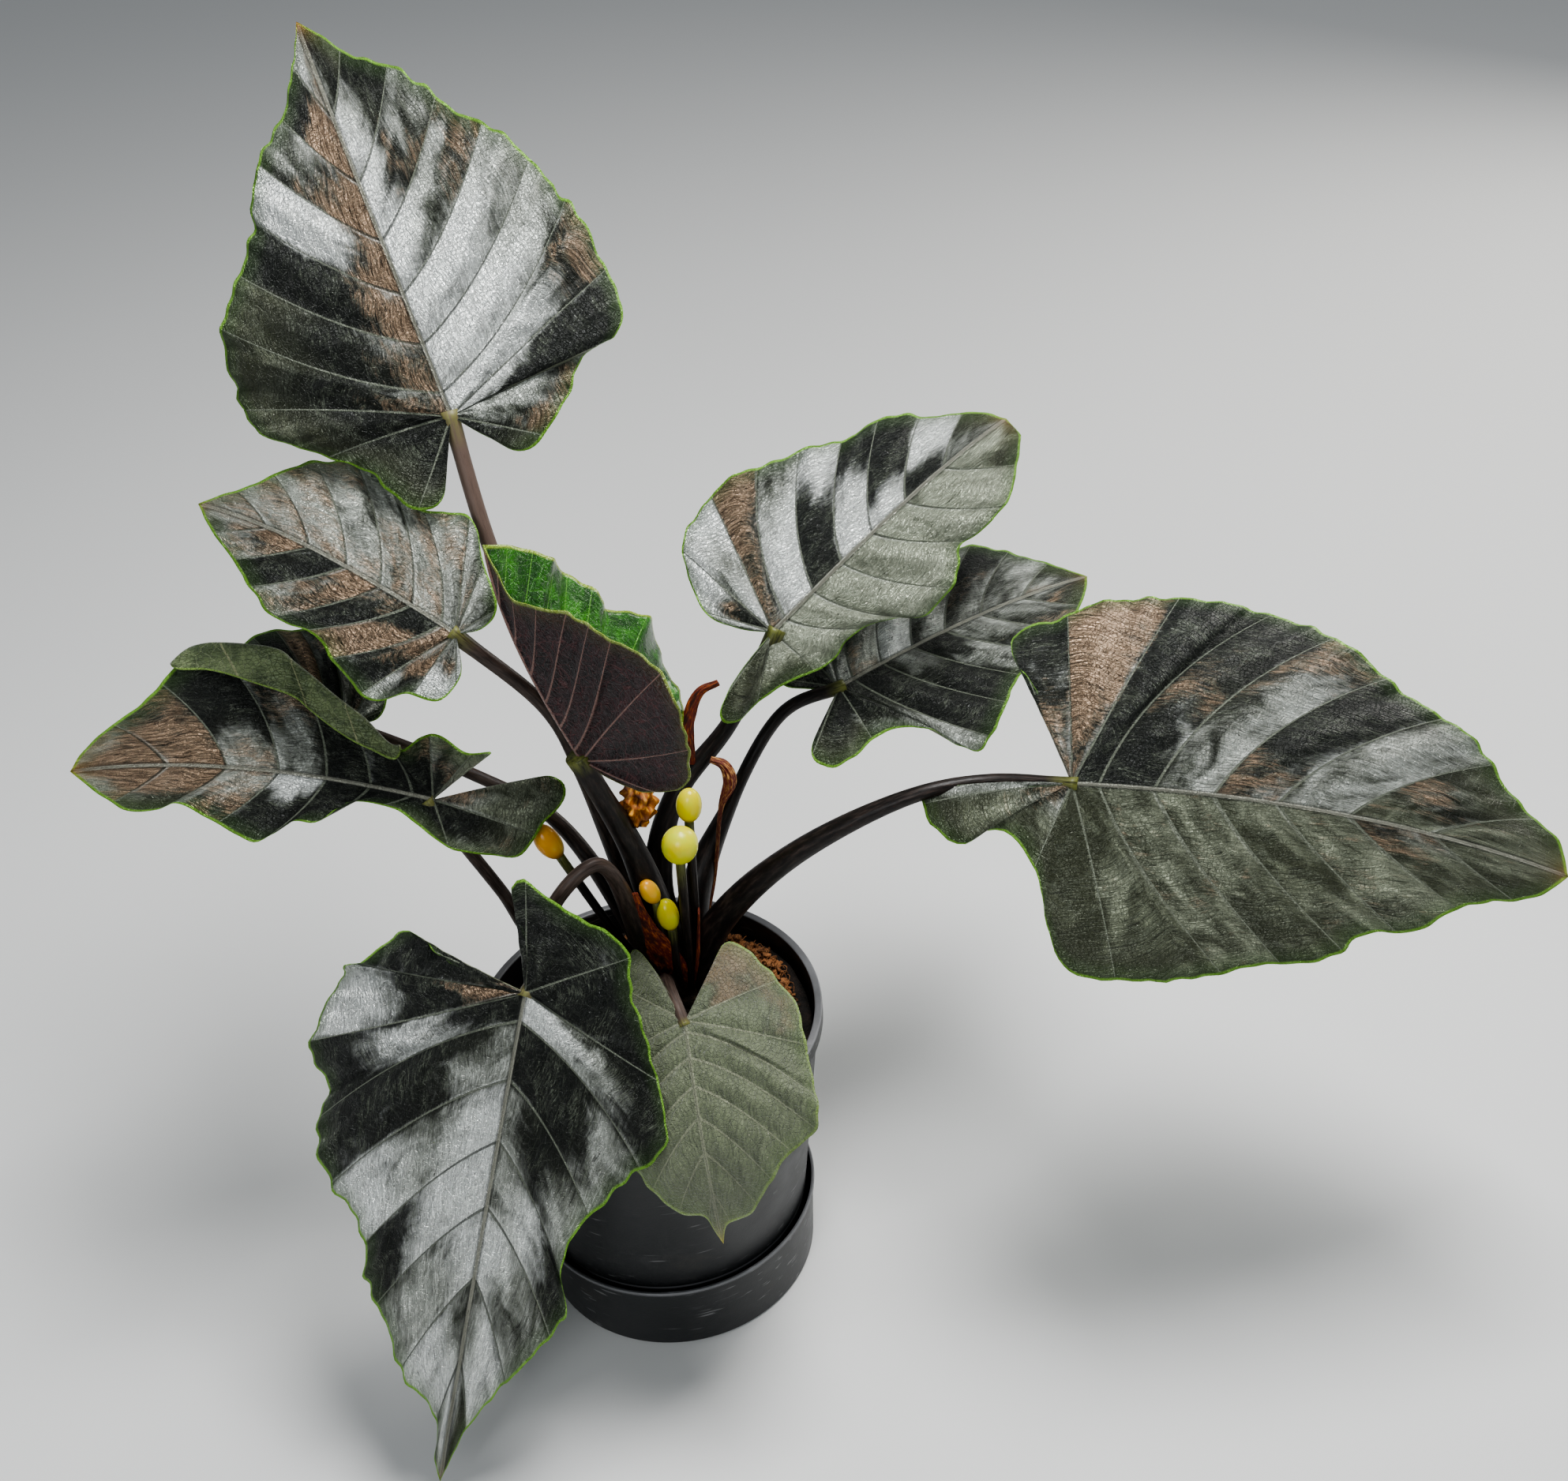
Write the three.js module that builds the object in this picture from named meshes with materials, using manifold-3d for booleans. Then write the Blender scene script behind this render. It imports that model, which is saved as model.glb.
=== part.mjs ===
// Potted velvet-leaved alocasia: a plant with ten leaves in a nursery pot that stands in a saucer.
// Millimetres, +Z up. The origin is the centre of the saucer's underside, and the front is at -Y.
import * as THREE from "three";
import { mergeVertices } from "three/addons/utils/BufferGeometryUtils.js";
import Module from "manifold-3d";

const wasm = await Module();
wasm.setup();

// Driving dimensions
const GAP = 0.3; // left between pieces that touch
const BLADE_GAP = 0.5; // left round a blade, which its petiole meets at a slant
const SAUCER = { baseRadius: 71, rimRadius: 74, height: 43, wall: 1.6, floor: 2, lip: 2.2 };
const POT = { baseRadius: 65, wallTop: 82.6, rimRadius: 85, top: 163.5, rimHeight: 8, wall: 1.4 };
const DRAIN = { count: 6, radius: 4.5, ring: 44 };
const MIX = { top: 150, bump: 2.6, rings: 6, sectors: 30 };
const CROWN = { x: 16, y: 19, foot: 130, top: 178 };
const BLADE = { ribHalf: 1.1, marginHalf: 0.5, quilt: 1.3, bow: 0.08, ribEase: 0.68, fullWidth: 60 };
const ROUND = 40; // sides of the pot and the saucer
const RIB_ROWS = 13; // rows of a blade from its tip to the petiole
const LOBE_ROWS = 7; // rows from there round the basal lobe
const COLUMNS = 3; // columns from the midrib to the margin
const OUTLINE_POINTS = 240; // points that a half's outline is read at
const BEND_STEPS = 12; // steps that add up a blade's bend across its width
const LOBE_SPAN = 50; // length over which a lobe bends by its stated angle

const look = (color, roughness, metalness = 0) =>
  new THREE.MeshStandardMaterial({ color, roughness, metalness });
const BLACK_PLASTIC = look(0x1b1c1d, 0.5);
const MIX_BROWN = look(0x2a1c12, 1);
const CROWN_BROWN = look(0x3a2c20, 0.8);
const PETIOLE_DARK = look(0x241c18, 0.5);
const LEAF_VELVET = look(0x3b4238, 0.4, 0.3);
const LEAF_YOUNG = look(0x2f5a1c, 0.4);
const LEAF_OLD = look(0x5b6048, 0.7);
const SPATHE_YELLOW = look(0xd8c420, 0.4);
const SPATHE_ORANGE = look(0xd98214, 0.4);
const DRY_RED = look(0x6a2416, 0.8);

const vector = (p) => new THREE.Vector3(...p);
const mix = (a, b, t) => a + (b - a) * t;
const radians = THREE.MathUtils.degToRad;

// Solids
function solid(geometry) {
  const bare = geometry.clone();
  bare.deleteAttribute("normal");
  bare.deleteAttribute("uv");
  const merged = mergeVertices(bare, 1e-4);
  const vertProperties = merged.attributes.position.array;
  const triVerts = new Uint32Array(merged.index.array);
  return new wasm.Manifold(new wasm.Mesh({ numProp: 3, vertProperties, triVerts }));
}

function largest(body) {
  const pieces = body.decompose();
  return pieces.reduce((a, b) => (b.volume() > a.volume() ? b : a));
}

const object = new THREE.Group();

function add(name, body, material) {
  const { numProp, vertProperties, triVerts } = body.getMesh();
  const count = vertProperties.length / numProp;
  const position = new Float32Array(count * 3);
  for (let i = 0; i < count; i++) {
    position.set(vertProperties.subarray(i * numProp, i * numProp + 3), i * 3);
  }
  const geometry = new THREE.BufferGeometry();
  geometry.setAttribute("position", new THREE.BufferAttribute(position, 3));
  geometry.setIndex(new THREE.BufferAttribute(triVerts, 1));
  geometry.computeVertexNormals();
  const mesh = new THREE.Mesh(geometry, material);
  mesh.name = name;
  object.add(mesh);
}

function surface(points, triangles) {
  const geometry = new THREE.BufferGeometry().setFromPoints(points);
  geometry.setIndex(triangles);
  return geometry;
}

// A round body whose profile of [radius, height] closes on itself or runs from axis to axis
function turned(profile, sides = ROUND) {
  const points = profile.map(([r, z]) => new THREE.Vector2(r, z));
  const geometry = new THREE.LatheGeometry(points, sides);
  geometry.rotateX(Math.PI / 2);
  return solid(geometry);
}

// A stem along points, round or flattened: size(t) gives its half width and half depth
function stem(points, size, sides = 7, steps = 9) {
  const curve = new THREE.CatmullRomCurve3(points.map(vector), false, "centripetal");
  const frames = curve.computeFrenetFrames(steps);
  const rings = [];
  for (let i = 0; i <= steps; i++) {
    const centre = curve.getPointAt(i / steps);
    const [wide, deep] = size(i / steps);
    for (let k = 0; k < sides; k++) {
      const angle = (2 * Math.PI * k) / sides;
      const p = centre.clone().addScaledVector(frames.normals[i], wide * Math.cos(angle));
      rings.push(p.addScaledVector(frames.binormals[i], deep * Math.sin(angle)));
    }
  }
  const triangles = [];
  for (let i = 0; i < steps; i++) {
    for (let k = 0; k < sides; k++) {
      const a = i * sides + k;
      const b = i * sides + ((k + 1) % sides);
      triangles.push(a, b, b + sides, a, b + sides, a + sides);
    }
  }
  const last = steps * sides;
  for (let k = 1; k < sides - 1; k++) {
    triangles.push(0, k + 1, k);
    triangles.push(last, last + k, last + k + 1);
  }
  return solid(surface(rings, triangles));
}

// Saucer and pot
function saucer() {
  const { baseRadius, rimRadius, height, wall, floor, lip } = SAUCER;
  return turned([
    [0, 0],
    [baseRadius - 1.5, 0],
    [baseRadius, 1.5],
    [rimRadius - 0.8, height - lip],
    [rimRadius, height - lip],
    [rimRadius, height],
    [rimRadius - wall, height],
    [baseRadius - wall, floor + 1],
    [baseRadius - wall - 1, floor],
    [0, floor],
  ]);
}

const POT_FOOT = SAUCER.floor + GAP;
const potInside = (z) => {
  const t = (z - POT_FOOT) / (POT.top - POT.rimHeight - POT_FOOT);
  return mix(POT.baseRadius, POT.wallTop, t) - POT.wall;
};

function pot() {
  const { baseRadius, wallTop, rimRadius, top, rimHeight, wall } = POT;
  const under = top - rimHeight;
  const floorTop = POT_FOOT + 2;
  let body = turned([
    [0, POT_FOOT],
    [baseRadius - 2, POT_FOOT],
    [baseRadius, POT_FOOT + 2],
    [wallTop, under],
    [rimRadius, under + 0.8],
    [rimRadius, top - 0.8],
    [rimRadius - 0.8, top],
    [wallTop - wall + 0.6, top],
    [wallTop - wall, top - 0.8],
    [wallTop - wall, under],
    [baseRadius - wall, floorTop + 1],
    [baseRadius - wall - 1.5, floorTop],
    [0, floorTop],
  ]);
  for (let i = 0; i < DRAIN.count; i++) {
    const angle = (2 * Math.PI * (i + 0.5)) / DRAIN.count;
    const hole = new THREE.CylinderGeometry(DRAIN.radius, DRAIN.radius, 8, 12);
    hole.rotateX(Math.PI / 2);
    hole.translate(DRAIN.ring * Math.cos(angle), DRAIN.ring * Math.sin(angle), POT_FOOT + 1);
    body = body.subtract(solid(hole));
  }
  return body;
}

// The potting mix fills the pot: its top is lumpy and rises a little towards the crown
function lump(i, k) {
  const wave = Math.sin(12.9898 * i + 78.233 * k) * 43758.5453;
  return (wave - Math.floor(wave)) * 2 - 1;
}

function pottingMix() {
  const { top, bump, rings, sectors } = MIX;
  const foot = POT_FOOT + 2 + GAP;
  const points = [new THREE.Vector3(0, 0, top + 3)];
  for (let i = 1; i <= rings; i++) {
    const radius = (potInside(top) - 1) * (i / rings);
    for (let k = 0; k < sectors; k++) {
      const angle = (2 * Math.PI * k) / sectors;
      const x = radius * Math.cos(angle);
      const y = radius * Math.sin(angle);
      const mound = 5 * Math.exp(-((x - CROWN.x) ** 2 + (y - CROWN.y) ** 2) / 900);
      points.push(new THREE.Vector3(x, y, top + mound + bump * lump(i, k)));
    }
  }
  for (let k = 0; k < sectors; k++) {
    const angle = (2 * Math.PI * k) / sectors;
    const radius = POT.baseRadius - POT.wall - 2;
    points.push(new THREE.Vector3(radius * Math.cos(angle), radius * Math.sin(angle), foot));
  }
  const bottom = points.push(new THREE.Vector3(0, 0, foot)) - 1;
  const triangles = [];
  const at = (ring, k) => 1 + (ring - 1) * sectors + (k % sectors);
  for (let k = 0; k < sectors; k++) {
    triangles.push(0, at(1, k), at(1, k + 1));
    for (let ring = 1; ring <= rings; ring++) {
      triangles.push(at(ring, k), at(ring + 1, k), at(ring + 1, k + 1));
      triangles.push(at(ring, k), at(ring + 1, k + 1), at(ring, k + 1));
    }
    triangles.push(at(rings + 1, k), bottom, at(rings + 1, k + 1));
  }
  return solid(surface(points, triangles));
}

// The crown is the short stem that carries every petiole
function crown(grow = 0) {
  const { x, y, foot, top } = CROWN;
  const axis = [[x, y, foot], [x, y, mix(foot, top, 0.4)], [x + 1, y - 1, mix(foot, top, 0.75)]];
  axis.push([x + 1, y - 2, top]);
  const radius = (t) => 12 + 6 * Math.sin(Math.PI * Math.min(t * 1.1, 1)) - 2 * t + grow;
  return stem(axis, (t) => [radius(t), radius(t)], 12, 6);
}

// Blades
// rib: Bezier curve from the petiole to the tip. face: where the upper side looks, at both ends.
// Each half has an outline of [along the rib, out from it], from the tip round to the petiole.
// fold and curl are degrees at the petiole and at the tip: the blade's tilt beside the rib, and
// how much more it bends by `width` out from it.
// lobe is how far a basal lobe rises, and wave is [height, number of waves, phase].
const LEAVES = [
  {
    width: 85,
    rib: [[-57, 92, 442], [-77, 133, 495], [-98, 175, 545], [-118, 232, 578]],
    face: [[0.15, -0.6, 0.75], [0, -0.45, 0.85]],
    left: {
      outline: [
        [206, 0], [186, 7], [163, 20], [144, 37], [114, 54], [76, 82], [56, 89], [31, 87],
        [12, 68], [-9, 45], [-33, 30], [-33, 16], [-12, 7], [0, 0],
      ],
      fold: [-5, -5], curl: [-30, -15], lobe: -15, wave: [2.5, 5, 0],
    },
    right: {
      outline: [
        [206, 0], [182, 16], [160, 36], [127, 59], [94, 80], [57, 89], [29, 92], [12, 84],
        [7, 66], [-9, 51], [-25, 27], [-14, 12], [0, 0],
      ],
      fold: [5, 5], curl: [-12, -12], lobe: -15, wave: [3, 6, 1],
    },
  },
  {
    width: 50,
    rib: [[-62, 32, 367], [-100, 50, 390], [-137, 69, 409], [-175, 87, 412]],
    face: [[0, -0.6, 0.8], [0, -0.55, 0.85]],
    left: {
      outline: [
        [134, 0], [120, 11], [105, 19], [89, 28], [72, 35], [50, 33], [38, 39], [16, 45],
        [3, 34], [-10, 29], [-12, 14], [0, 0],
      ],
      fold: [-5, -5], curl: [-20, -10], lobe: -10, wave: [2, 5, 0],
    },
    right: {
      outline: [
        [134, 0], [115, 15], [99, 31], [84, 44], [60, 44], [43, 40], [34, 46], [22, 48],
        [8, 34], [-8, 20], [-8, 8], [0, 0],
      ],
      fold: [5, 5], curl: [-15, -10], lobe: -10, wave: [2, 5, 2],
    },
  },
  {
    width: 72,
    rib: [[-85, 20, 287], [-141, 27, 305], [-196, 35, 312], [-252, 42, 304]],
    face: [[0, -0.45, 0.9], [0, -0.4, 0.9]],
    left: {
      outline: [
        [170, 0], [154, 13], [140, 21], [125, 21], [115, 18], [100, 24], [78, 33], [68, 29],
        [60, 22], [48, 20], [36, 9], [16, 8], [4, 13], [-14, 20], [-32, 18], [-46, 14],
        [-52, -4], [-58, -18], [-48, -25], [-30, -13], [-12, -3], [0, 0],
      ],
      fold: [-20, -10], curl: [-10, -10], lobe: -10, wave: [1.5, 6, 0],
    },
    right: {
      outline: [
        [170, 0], [162, 11], [148, 22], [134, 31], [126, 40], [117, 51], [109, 55], [96, 56],
        [77, 55], [68, 49], [50, 37], [36, 29], [21, 19], [12, 27], [5, 30], [-9, 25],
        [-20, 28], [-12, 18], [0, 0],
      ],
      fold: [10, 15], curl: [30, 20], lobe: -10, wave: [1.5, 6, 1],
    },
  },
  {
    width: 45,
    rib: [[-130, 76, 294], [-153, 85, 306], [-177, 93, 312], [-203, 104, 306]],
    face: [[0, -0.4, 0.9], [0, -0.4, 0.9]],
    left: {
      outline: [
        [81, 0], [70, 9], [56, 24], [36, 37], [14, 40], [0, 32], [-8, 24], [-11, 12], [0, 0],
      ],
      fold: [0, 0], curl: [-20, -10], lobe: -10, wave: [1.5, 4, 0],
    },
    right: {
      outline: [
        [81, 0], [72, 14], [62, 29], [48, 37], [32, 39], [12, 36], [-2, 28], [-9, 20],
        [-10, 9], [0, 0],
      ],
      fold: [10, 5], curl: [-20, -10], lobe: -10, wave: [1.5, 4, 2],
    },
  },
  {
    width: 60,
    young: true,
    rib: [[-12, 2, 315], [-28, 12, 347], [-41, 22, 378], [-43, 32, 410]],
    face: [[0.9, 0.05, 0.3], [0.9, 0.1, 0.3]],
    left: {
      outline: [
        [105, 0], [92, 4], [80, 9], [74, 24], [63, 44], [47, 60], [24, 71], [6, 71],
        [-16, 60], [-29, 46], [-24, 26], [-10, 8], [0, 0],
      ],
      fold: [50, 50], curl: [10, 10], lobe: 10, wave: [2, 4, 0],
    },
    right: {
      outline: [
        [105, 0], [98, 20], [82, 38], [64, 50], [50, 55], [38, 71], [24, 82], [6, 80],
        [-14, 68], [-26, 46], [-18, 20], [0, 0],
      ],
      fold: [45, 45], curl: [-20, -10], lobe: 10, wave: [3, 5, 2],
    },
  },
  {
    width: 70,
    rib: [[76, 72, 329], [118, 109, 348], [159, 145, 367], [201, 182, 373]],
    face: [[0, -0.35, 0.93], [-0.1, -0.45, 0.85]],
    left: {
      outline: [
        [173, 0], [163, 13], [140, 31], [118, 44], [100, 47], [78, 59], [54, 69], [24, 70],
        [4, 61], [-6, 46], [-14, 28], [-8, 11], [0, 0],
      ],
      fold: [10, 5], curl: [0, 0], lobe: -10, wave: [2.5, 6, 0],
    },
    right: {
      outline: [
        [173, 0], [174, 9], [164, 20], [144, 32], [119, 36], [105, 35], [90, 45], [68, 49],
        [52, 38], [34, 30], [14, 32], [-8, 24], [-24, 20], [-44, 17], [-46, 7], [-24, 2], [0, 0],
      ],
      fold: [-45, -22], curl: [-15, -10], lobe: -10, wave: [2, 6, 1],
    },
  },
  {
    width: 60,
    rib: [[106, 92, 281], [152, 122, 286], [198, 152, 287], [244, 182, 277]],
    face: [[0, -0.4, 0.9], [0, -0.4, 0.9]],
    left: {
      outline: [
        [166, 0], [151, 14], [135, 34], [113, 44], [86, 55], [56, 61], [26, 58], [2, 46],
        [-16, 34], [-22, 18], [-10, 6], [0, 0],
      ],
      fold: [0, 0], curl: [-10, -10], lobe: -10, wave: [2, 5, 0],
    },
    right: {
      outline: [
        [166, 0], [156, 11], [136, 24], [114, 32], [92, 38], [75, 47], [50, 62], [38, 55],
        [28, 42], [14, 33], [0, 31], [-16, 34], [-30, 32], [-32, 20], [-14, 8], [0, 0],
      ],
      fold: [-10, -5], curl: [-15, -15], lobe: -10, wave: [2, 5, 2],
    },
  },
  {
    width: 85,
    rib: [[203, -8, 287], [276, -18, 282], [349, -28, 268], [422, -38, 234]],
    face: [[0, -0.55, 0.83], [0, -0.5, 0.85]],
    left: {
      outline: [
        [228, 0], [222, 14], [205, 27], [186, 48], [157, 66], [132, 83], [101, 100], [65, 103],
        [38, 105], [14, 98], [-4, 87], [-26, 80], [-28, 64], [-14, 40], [-4, 14], [0, 0],
      ],
      fold: [0, 0], curl: [-15, -10], lobe: -5, wave: [2, 6, 0],
    },
    right: {
      outline: [
        [228, 0], [214, 15], [182, 29], [164, 44], [141, 51], [122, 66], [95, 72], [69, 80],
        [48, 85], [17, 86], [-1, 81], [-10, 62], [-15, 41], [-27, 24], [-38, 22], [-48, 28],
        [-58, 24], [-68, 11], [-66, 3], [-48, 0], [-20, 2], [0, 0],
      ],
      fold: [-5, -5], curl: [-20, -15], lobe: -20, wave: [2, 6, 1],
    },
  },
  {
    width: 80,
    rib: [[-47, -50, 228], [-69, -91, 161], [-90, -132, 95], [-112, -149, 17]],
    face: [[0, -0.85, 0.5], [-0.1, -0.9, 0.3]],
    left: {
      outline: [
        [243, 0], [226, 4], [210, 9], [176, 26], [150, 42], [138, 43], [126, 39], [104, 41],
        [78, 59], [57, 74], [43, 72], [13, 59], [-13, 47], [-31, 40], [-40, 16], [-51, -6],
        [-47, -14], [-27, -4], [0, 0],
      ],
      fold: [8, 0], curl: [-10, -8], lobe: 15, wave: [2.5, 6, 0],
    },
    right: {
      outline: [
        [243, 0], [232, 4], [210, 8], [185, 29], [155, 49], [133, 54], [110, 78], [83, 91],
        [64, 90], [54, 100], [27, 100], [10, 91], [4, 80], [-12, 68], [-14, 58], [-7, 40],
        [1, 24], [2, 10], [0, 0],
      ],
      fold: [-8, -5], curl: [-20, -10], lobe: -5, wave: [3, 7, 1],
    },
  },
  {
    width: 45,
    old: true,
    rib: [[21, -42, 195], [24, -80, 186], [28, -112, 158], [30, -101, 110]],
    face: [[0, -0.4, 0.9], [0, -0.95, 0.3]],
    left: {
      outline: [
        [117, 0], [104, 4], [100, 16], [84, 27], [74, 36], [66, 50], [50, 54], [32, 54],
        [14, 53], [-3, 52], [-22, 42], [-38, 25], [-22, 14], [0, 0],
      ],
      fold: [5, 0], curl: [-15, -10], lobe: 10, wave: [1.5, 5, 0],
    },
    right: {
      outline: [
        [117, 0], [106, 3], [98, 6], [95, 14], [84, 25], [72, 32], [56, 36], [36, 37],
        [14, 34], [-4, 31], [-22, 28], [-44, 21], [-30, 11], [0, 0],
      ],
      fold: [-5, 0], curl: [-25, -10], lobe: 10, wave: [1.5, 5, 2],
    },
  },
];

// The point of a blade `along` its rib, `out` from it on one half, and `lift` above its middle
function bladePoint(leaf, half, along, out, lift) {
  const curve = new THREE.CubicBezierCurve3(...leaf.rib.map(vector));
  const length = leaf.left.outline[0][0];
  const u = THREE.MathUtils.clamp(along / length, 0, 1);
  const tangent = curve.getTangent(u);
  const normal = vector(leaf.face[0]).lerp(vector(leaf.face[1]), u);
  normal.addScaledVector(tangent, -normal.dot(tangent)).normalize();
  const side = normal.clone().cross(tangent);
  if (half === leaf.right) side.negate();
  const tilt = (w) => {
    return radians(mix(...half.fold, u) + (mix(...half.curl, u) * w) / leaf.width);
  };
  let across = 0;
  let up = 0;
  for (let k = 0; k < BEND_STEPS; k++) {
    const angle = tilt((out * (k + 0.5)) / BEND_STEPS);
    across += (Math.cos(angle) * out) / BEND_STEPS;
    up += (Math.sin(angle) * out) / BEND_STEPS;
  }
  const lean = out === 0 ? 0 : tilt(out);
  across -= lift * Math.sin(lean);
  up += lift * Math.cos(lean);
  const behind = (radians(half.lobe) * Math.max(-along, 0)) / LOBE_SPAN;
  const radius = LOBE_SPAN / radians(half.lobe);
  const point = curve.getPoint(u);
  point.addScaledVector(tangent, -radius * Math.sin(behind) + up * Math.sin(behind));
  point.addScaledVector(normal, radius * (1 - Math.cos(behind)) + up * Math.cos(behind));
  return point.addScaledVector(side, across);
}

// Points spaced evenly along part of a polyline
function spaced(line, count) {
  const lengths = [0];
  for (let i = 1; i < line.length; i++) {
    lengths.push(lengths[i - 1] + line[i].distanceTo(line[i - 1]));
  }
  const total = lengths.at(-1);
  return Array.from({ length: count + 1 }, (_, n) => {
    const want = (total * n) / count;
    let i = 1;
    while (i < line.length - 1 && lengths[i] < want) i++;
    const t = (want - lengths[i - 1]) / (lengths[i] - lengths[i - 1]);
    return line[i - 1].clone().lerp(line[i], t);
  });
}

// One row for each vein and each space between two veins, as its inner and outer end
function veinRows(half, grow) {
  const outline = new THREE.SplineCurve(half.outline.map((p) => new THREE.Vector2(...p)));
  const line = outline.getSpacedPoints(OUTLINE_POINTS);
  line.forEach((p, i) => {
    const along = outline.getTangentAt(i / OUTLINE_POINTS);
    p.add(new THREE.Vector2(along.y, -along.x).multiplyScalar(grow));
  });
  const shoulder = line.findIndex((p) => p.x < 0.25 * p.y);
  const front = spaced(line.slice(0, shoulder + 1), RIB_ROWS);
  const lobe = spaced(line.slice(shoulder), LOBE_ROWS);
  const length = half.outline[0][0];
  const rows = front.map((outer, i) => {
    const inner = length * (1 - (i / RIB_ROWS) ** BLADE.ribEase);
    return { inner: new THREE.Vector2(inner, 0), outer };
  });
  const rest = lobe.slice(1).map((outer) => ({ inner: new THREE.Vector2(0, 0), outer }));
  return rows.concat(rest);
}

function blade(leaf, grow = 0) {
  const points = [];
  const known = new Map();
  const lastRow = RIB_ROWS + LOBE_ROWS;
  const rows = { left: veinRows(leaf.left, grow), right: veinRows(leaf.right, grow) };
  // The tip, the petiole's end and the midrib are shared by both halves
  const vertex = (side, row, column, face) => {
    let key = `${side} ${row} ${column}`;
    if (column === 0) key = `rib ${Math.min(row, RIB_ROWS)}`;
    if (row === 0) key = "rib 0";
    if (row === lastRow) key = `rib ${RIB_ROWS}`;
    key += face;
    if (!known.has(key)) {
      const { inner, outer } = rows[side][row];
      const half = leaf[side];
      const s = column / COLUMNS;
      const at = inner.clone().lerp(outer, s);
      if (key.startsWith(`rib ${RIB_ROWS}`)) at.set(-2 * grow, 0);
      const reach = outer.distanceTo(inner);
      at.x -= BLADE.bow * 4 * s * (1 - s) * reach * (row < RIB_ROWS ? 1 : 0);
      const [height, waves, phase] = half.wave;
      const fade = Math.min(reach / BLADE.fullWidth, 1);
      const turn = (2 * Math.PI * waves * row) / lastRow + phase;
      const between = row % 2 ? 4 * s * (1 - s) : 0;
      const lift = fade * (height * s * s * Math.sin(turn) + BLADE.quilt * between);
      const thick = mix(BLADE.ribHalf, BLADE.marginHalf, Math.sqrt(s)) + grow;
      const point = bladePoint(leaf, half, at.x, at.y, lift + face * thick);
      known.set(key, points.push(point) - 1);
    }
    return known.get(key);
  };
  const triangles = [];
  const triangle = (a, b, c) => {
    if (a !== b && b !== c && c !== a) triangles.push(a, b, c);
  };
  for (const side of ["left", "right"]) {
    for (let row = 0; row < lastRow; row++) {
      for (let column = 0; column < COLUMNS; column++) {
        for (const face of [1, -1]) {
          const a = vertex(side, row, column, face);
          const b = vertex(side, row, column + 1, face);
          const c = vertex(side, row + 1, column + 1, face);
          const d = vertex(side, row + 1, column, face);
          if ((side === "left") === (face === 1)) {
            triangle(a, b, c);
            triangle(a, c, d);
          } else {
            triangle(a, c, b);
            triangle(a, d, c);
          }
        }
      }
      const b = vertex(side, row, COLUMNS, 1);
      const c = vertex(side, row + 1, COLUMNS, 1);
      const under = vertex(side, row, COLUMNS, -1);
      const next = vertex(side, row + 1, COLUMNS, -1);
      if (side === "left") {
        triangle(c, b, under);
        triangle(c, under, next);
      } else {
        triangle(b, c, under);
        triangle(under, c, next);
      }
    }
  }
  return solid(surface(points, triangles));
}

// Petioles, each from the crown to its blade: its radius in the sheath and at the tip, and the
// shares of its length between which the sheath runs out
const PETIOLES = [
  {
    route: [[13, 23, 166], [-3, 40, 228], [-28, 56, 315], [-48, 76, 385]],
    radius: [6.5, 3.6], sheath: [0.1, 0.7],
  },
  {
    route: [[10, 19, 164], [-4, 29, 224], [-17, 33, 285], [-28, 34, 321]],
    radius: [6, 3.4], sheath: [0, 0.8],
  },
  {
    route: [[8, 17, 160], [-21, 17, 182], [-50, 16, 203], [-62, 16, 234]],
    radius: [4.2, 3], sheath: [0, 0.7],
  },
  {
    route: [[7, 23, 162], [-10, 36, 202], [-38, 55, 244], [-78, 66, 269]],
    radius: [5.5, 3], sheath: [0, 0.7],
  },
  {
    route: [[17, 18, 170], [8, 13, 228], [2, 8, 263], [-6, 4, 292]],
    radius: [8, 5], sheath: [0.2, 0.9],
  },
  {
    route: [[17, 25, 168], [11, 33, 217], [23, 42, 260], [52, 58, 289]],
    radius: [7.5, 4], sheath: [0.1, 0.8],
  },
  {
    route: [[22, 22, 166], [28, 34, 208], [44, 52, 236], [78, 81, 277]],
    radius: [8, 3.2], sheath: [0.2, 0.6],
  },
  {
    route: [[23, 16, 164], [38, 14, 204], [77, 8, 247], [134, 5, 278], [168, 7, 281]],
    radius: [8.3, 3.2], sheath: [0, 0.85],
  },
  {
    route: [[11, 13, 164], [2, 6, 205], [-12, -12, 267], [-33, -21, 252], [-40, -32, 230]],
    radius: [6.5, 3.4], sheath: [0.1, 0.6],
  },
  {
    route: [[17, 11, 162], [11, -2, 184], [14, -20, 196]],
    radius: [4.5, 2.8], sheath: [0, 0.8],
  },
];

function petiole(index, grow = 0) {
  const { route, radius, sheath } = PETIOLES[index];
  const leaf = LEAVES[index];
  const end = bladePoint(leaf, leaf.left, 3, 0, -BLADE.ribHalf - GAP).toArray();
  const size = (t) => {
    const r = mix(radius[0], radius[1], THREE.MathUtils.smoothstep(t, ...sheath)) + grow;
    return [r, r];
  };
  return stem([...route, end], size, 7, 10);
}

// Short-stalked inflorescences whose lower spathe stays on as a small smooth oval
const SPATHES = [
  { at: [26, -2, 266], lean: [0.1, -0.2, 1], length: 19, radius: 8.5, foot: [22, 9], ripe: true },
  { at: [31, 18, 273], lean: [0.1, 0, 1], length: 18, radius: 6, foot: [26, 15], ripe: true },
  { at: [-37, 24, 254], lean: [-0.5, 0.1, 1], length: 20, radius: 6, foot: [7, 14] },
  { at: [16, 2, 222], lean: [-0.1, 0, 1], length: 18, radius: 5.2, foot: [17, 8], ripe: true },
  { at: [9, 3, 236], lean: [-0.4, 0, 1], length: 14, radius: 4.4, foot: [12, 9] },
];
const STALK = { radius: 2, start: 164 };

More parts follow.
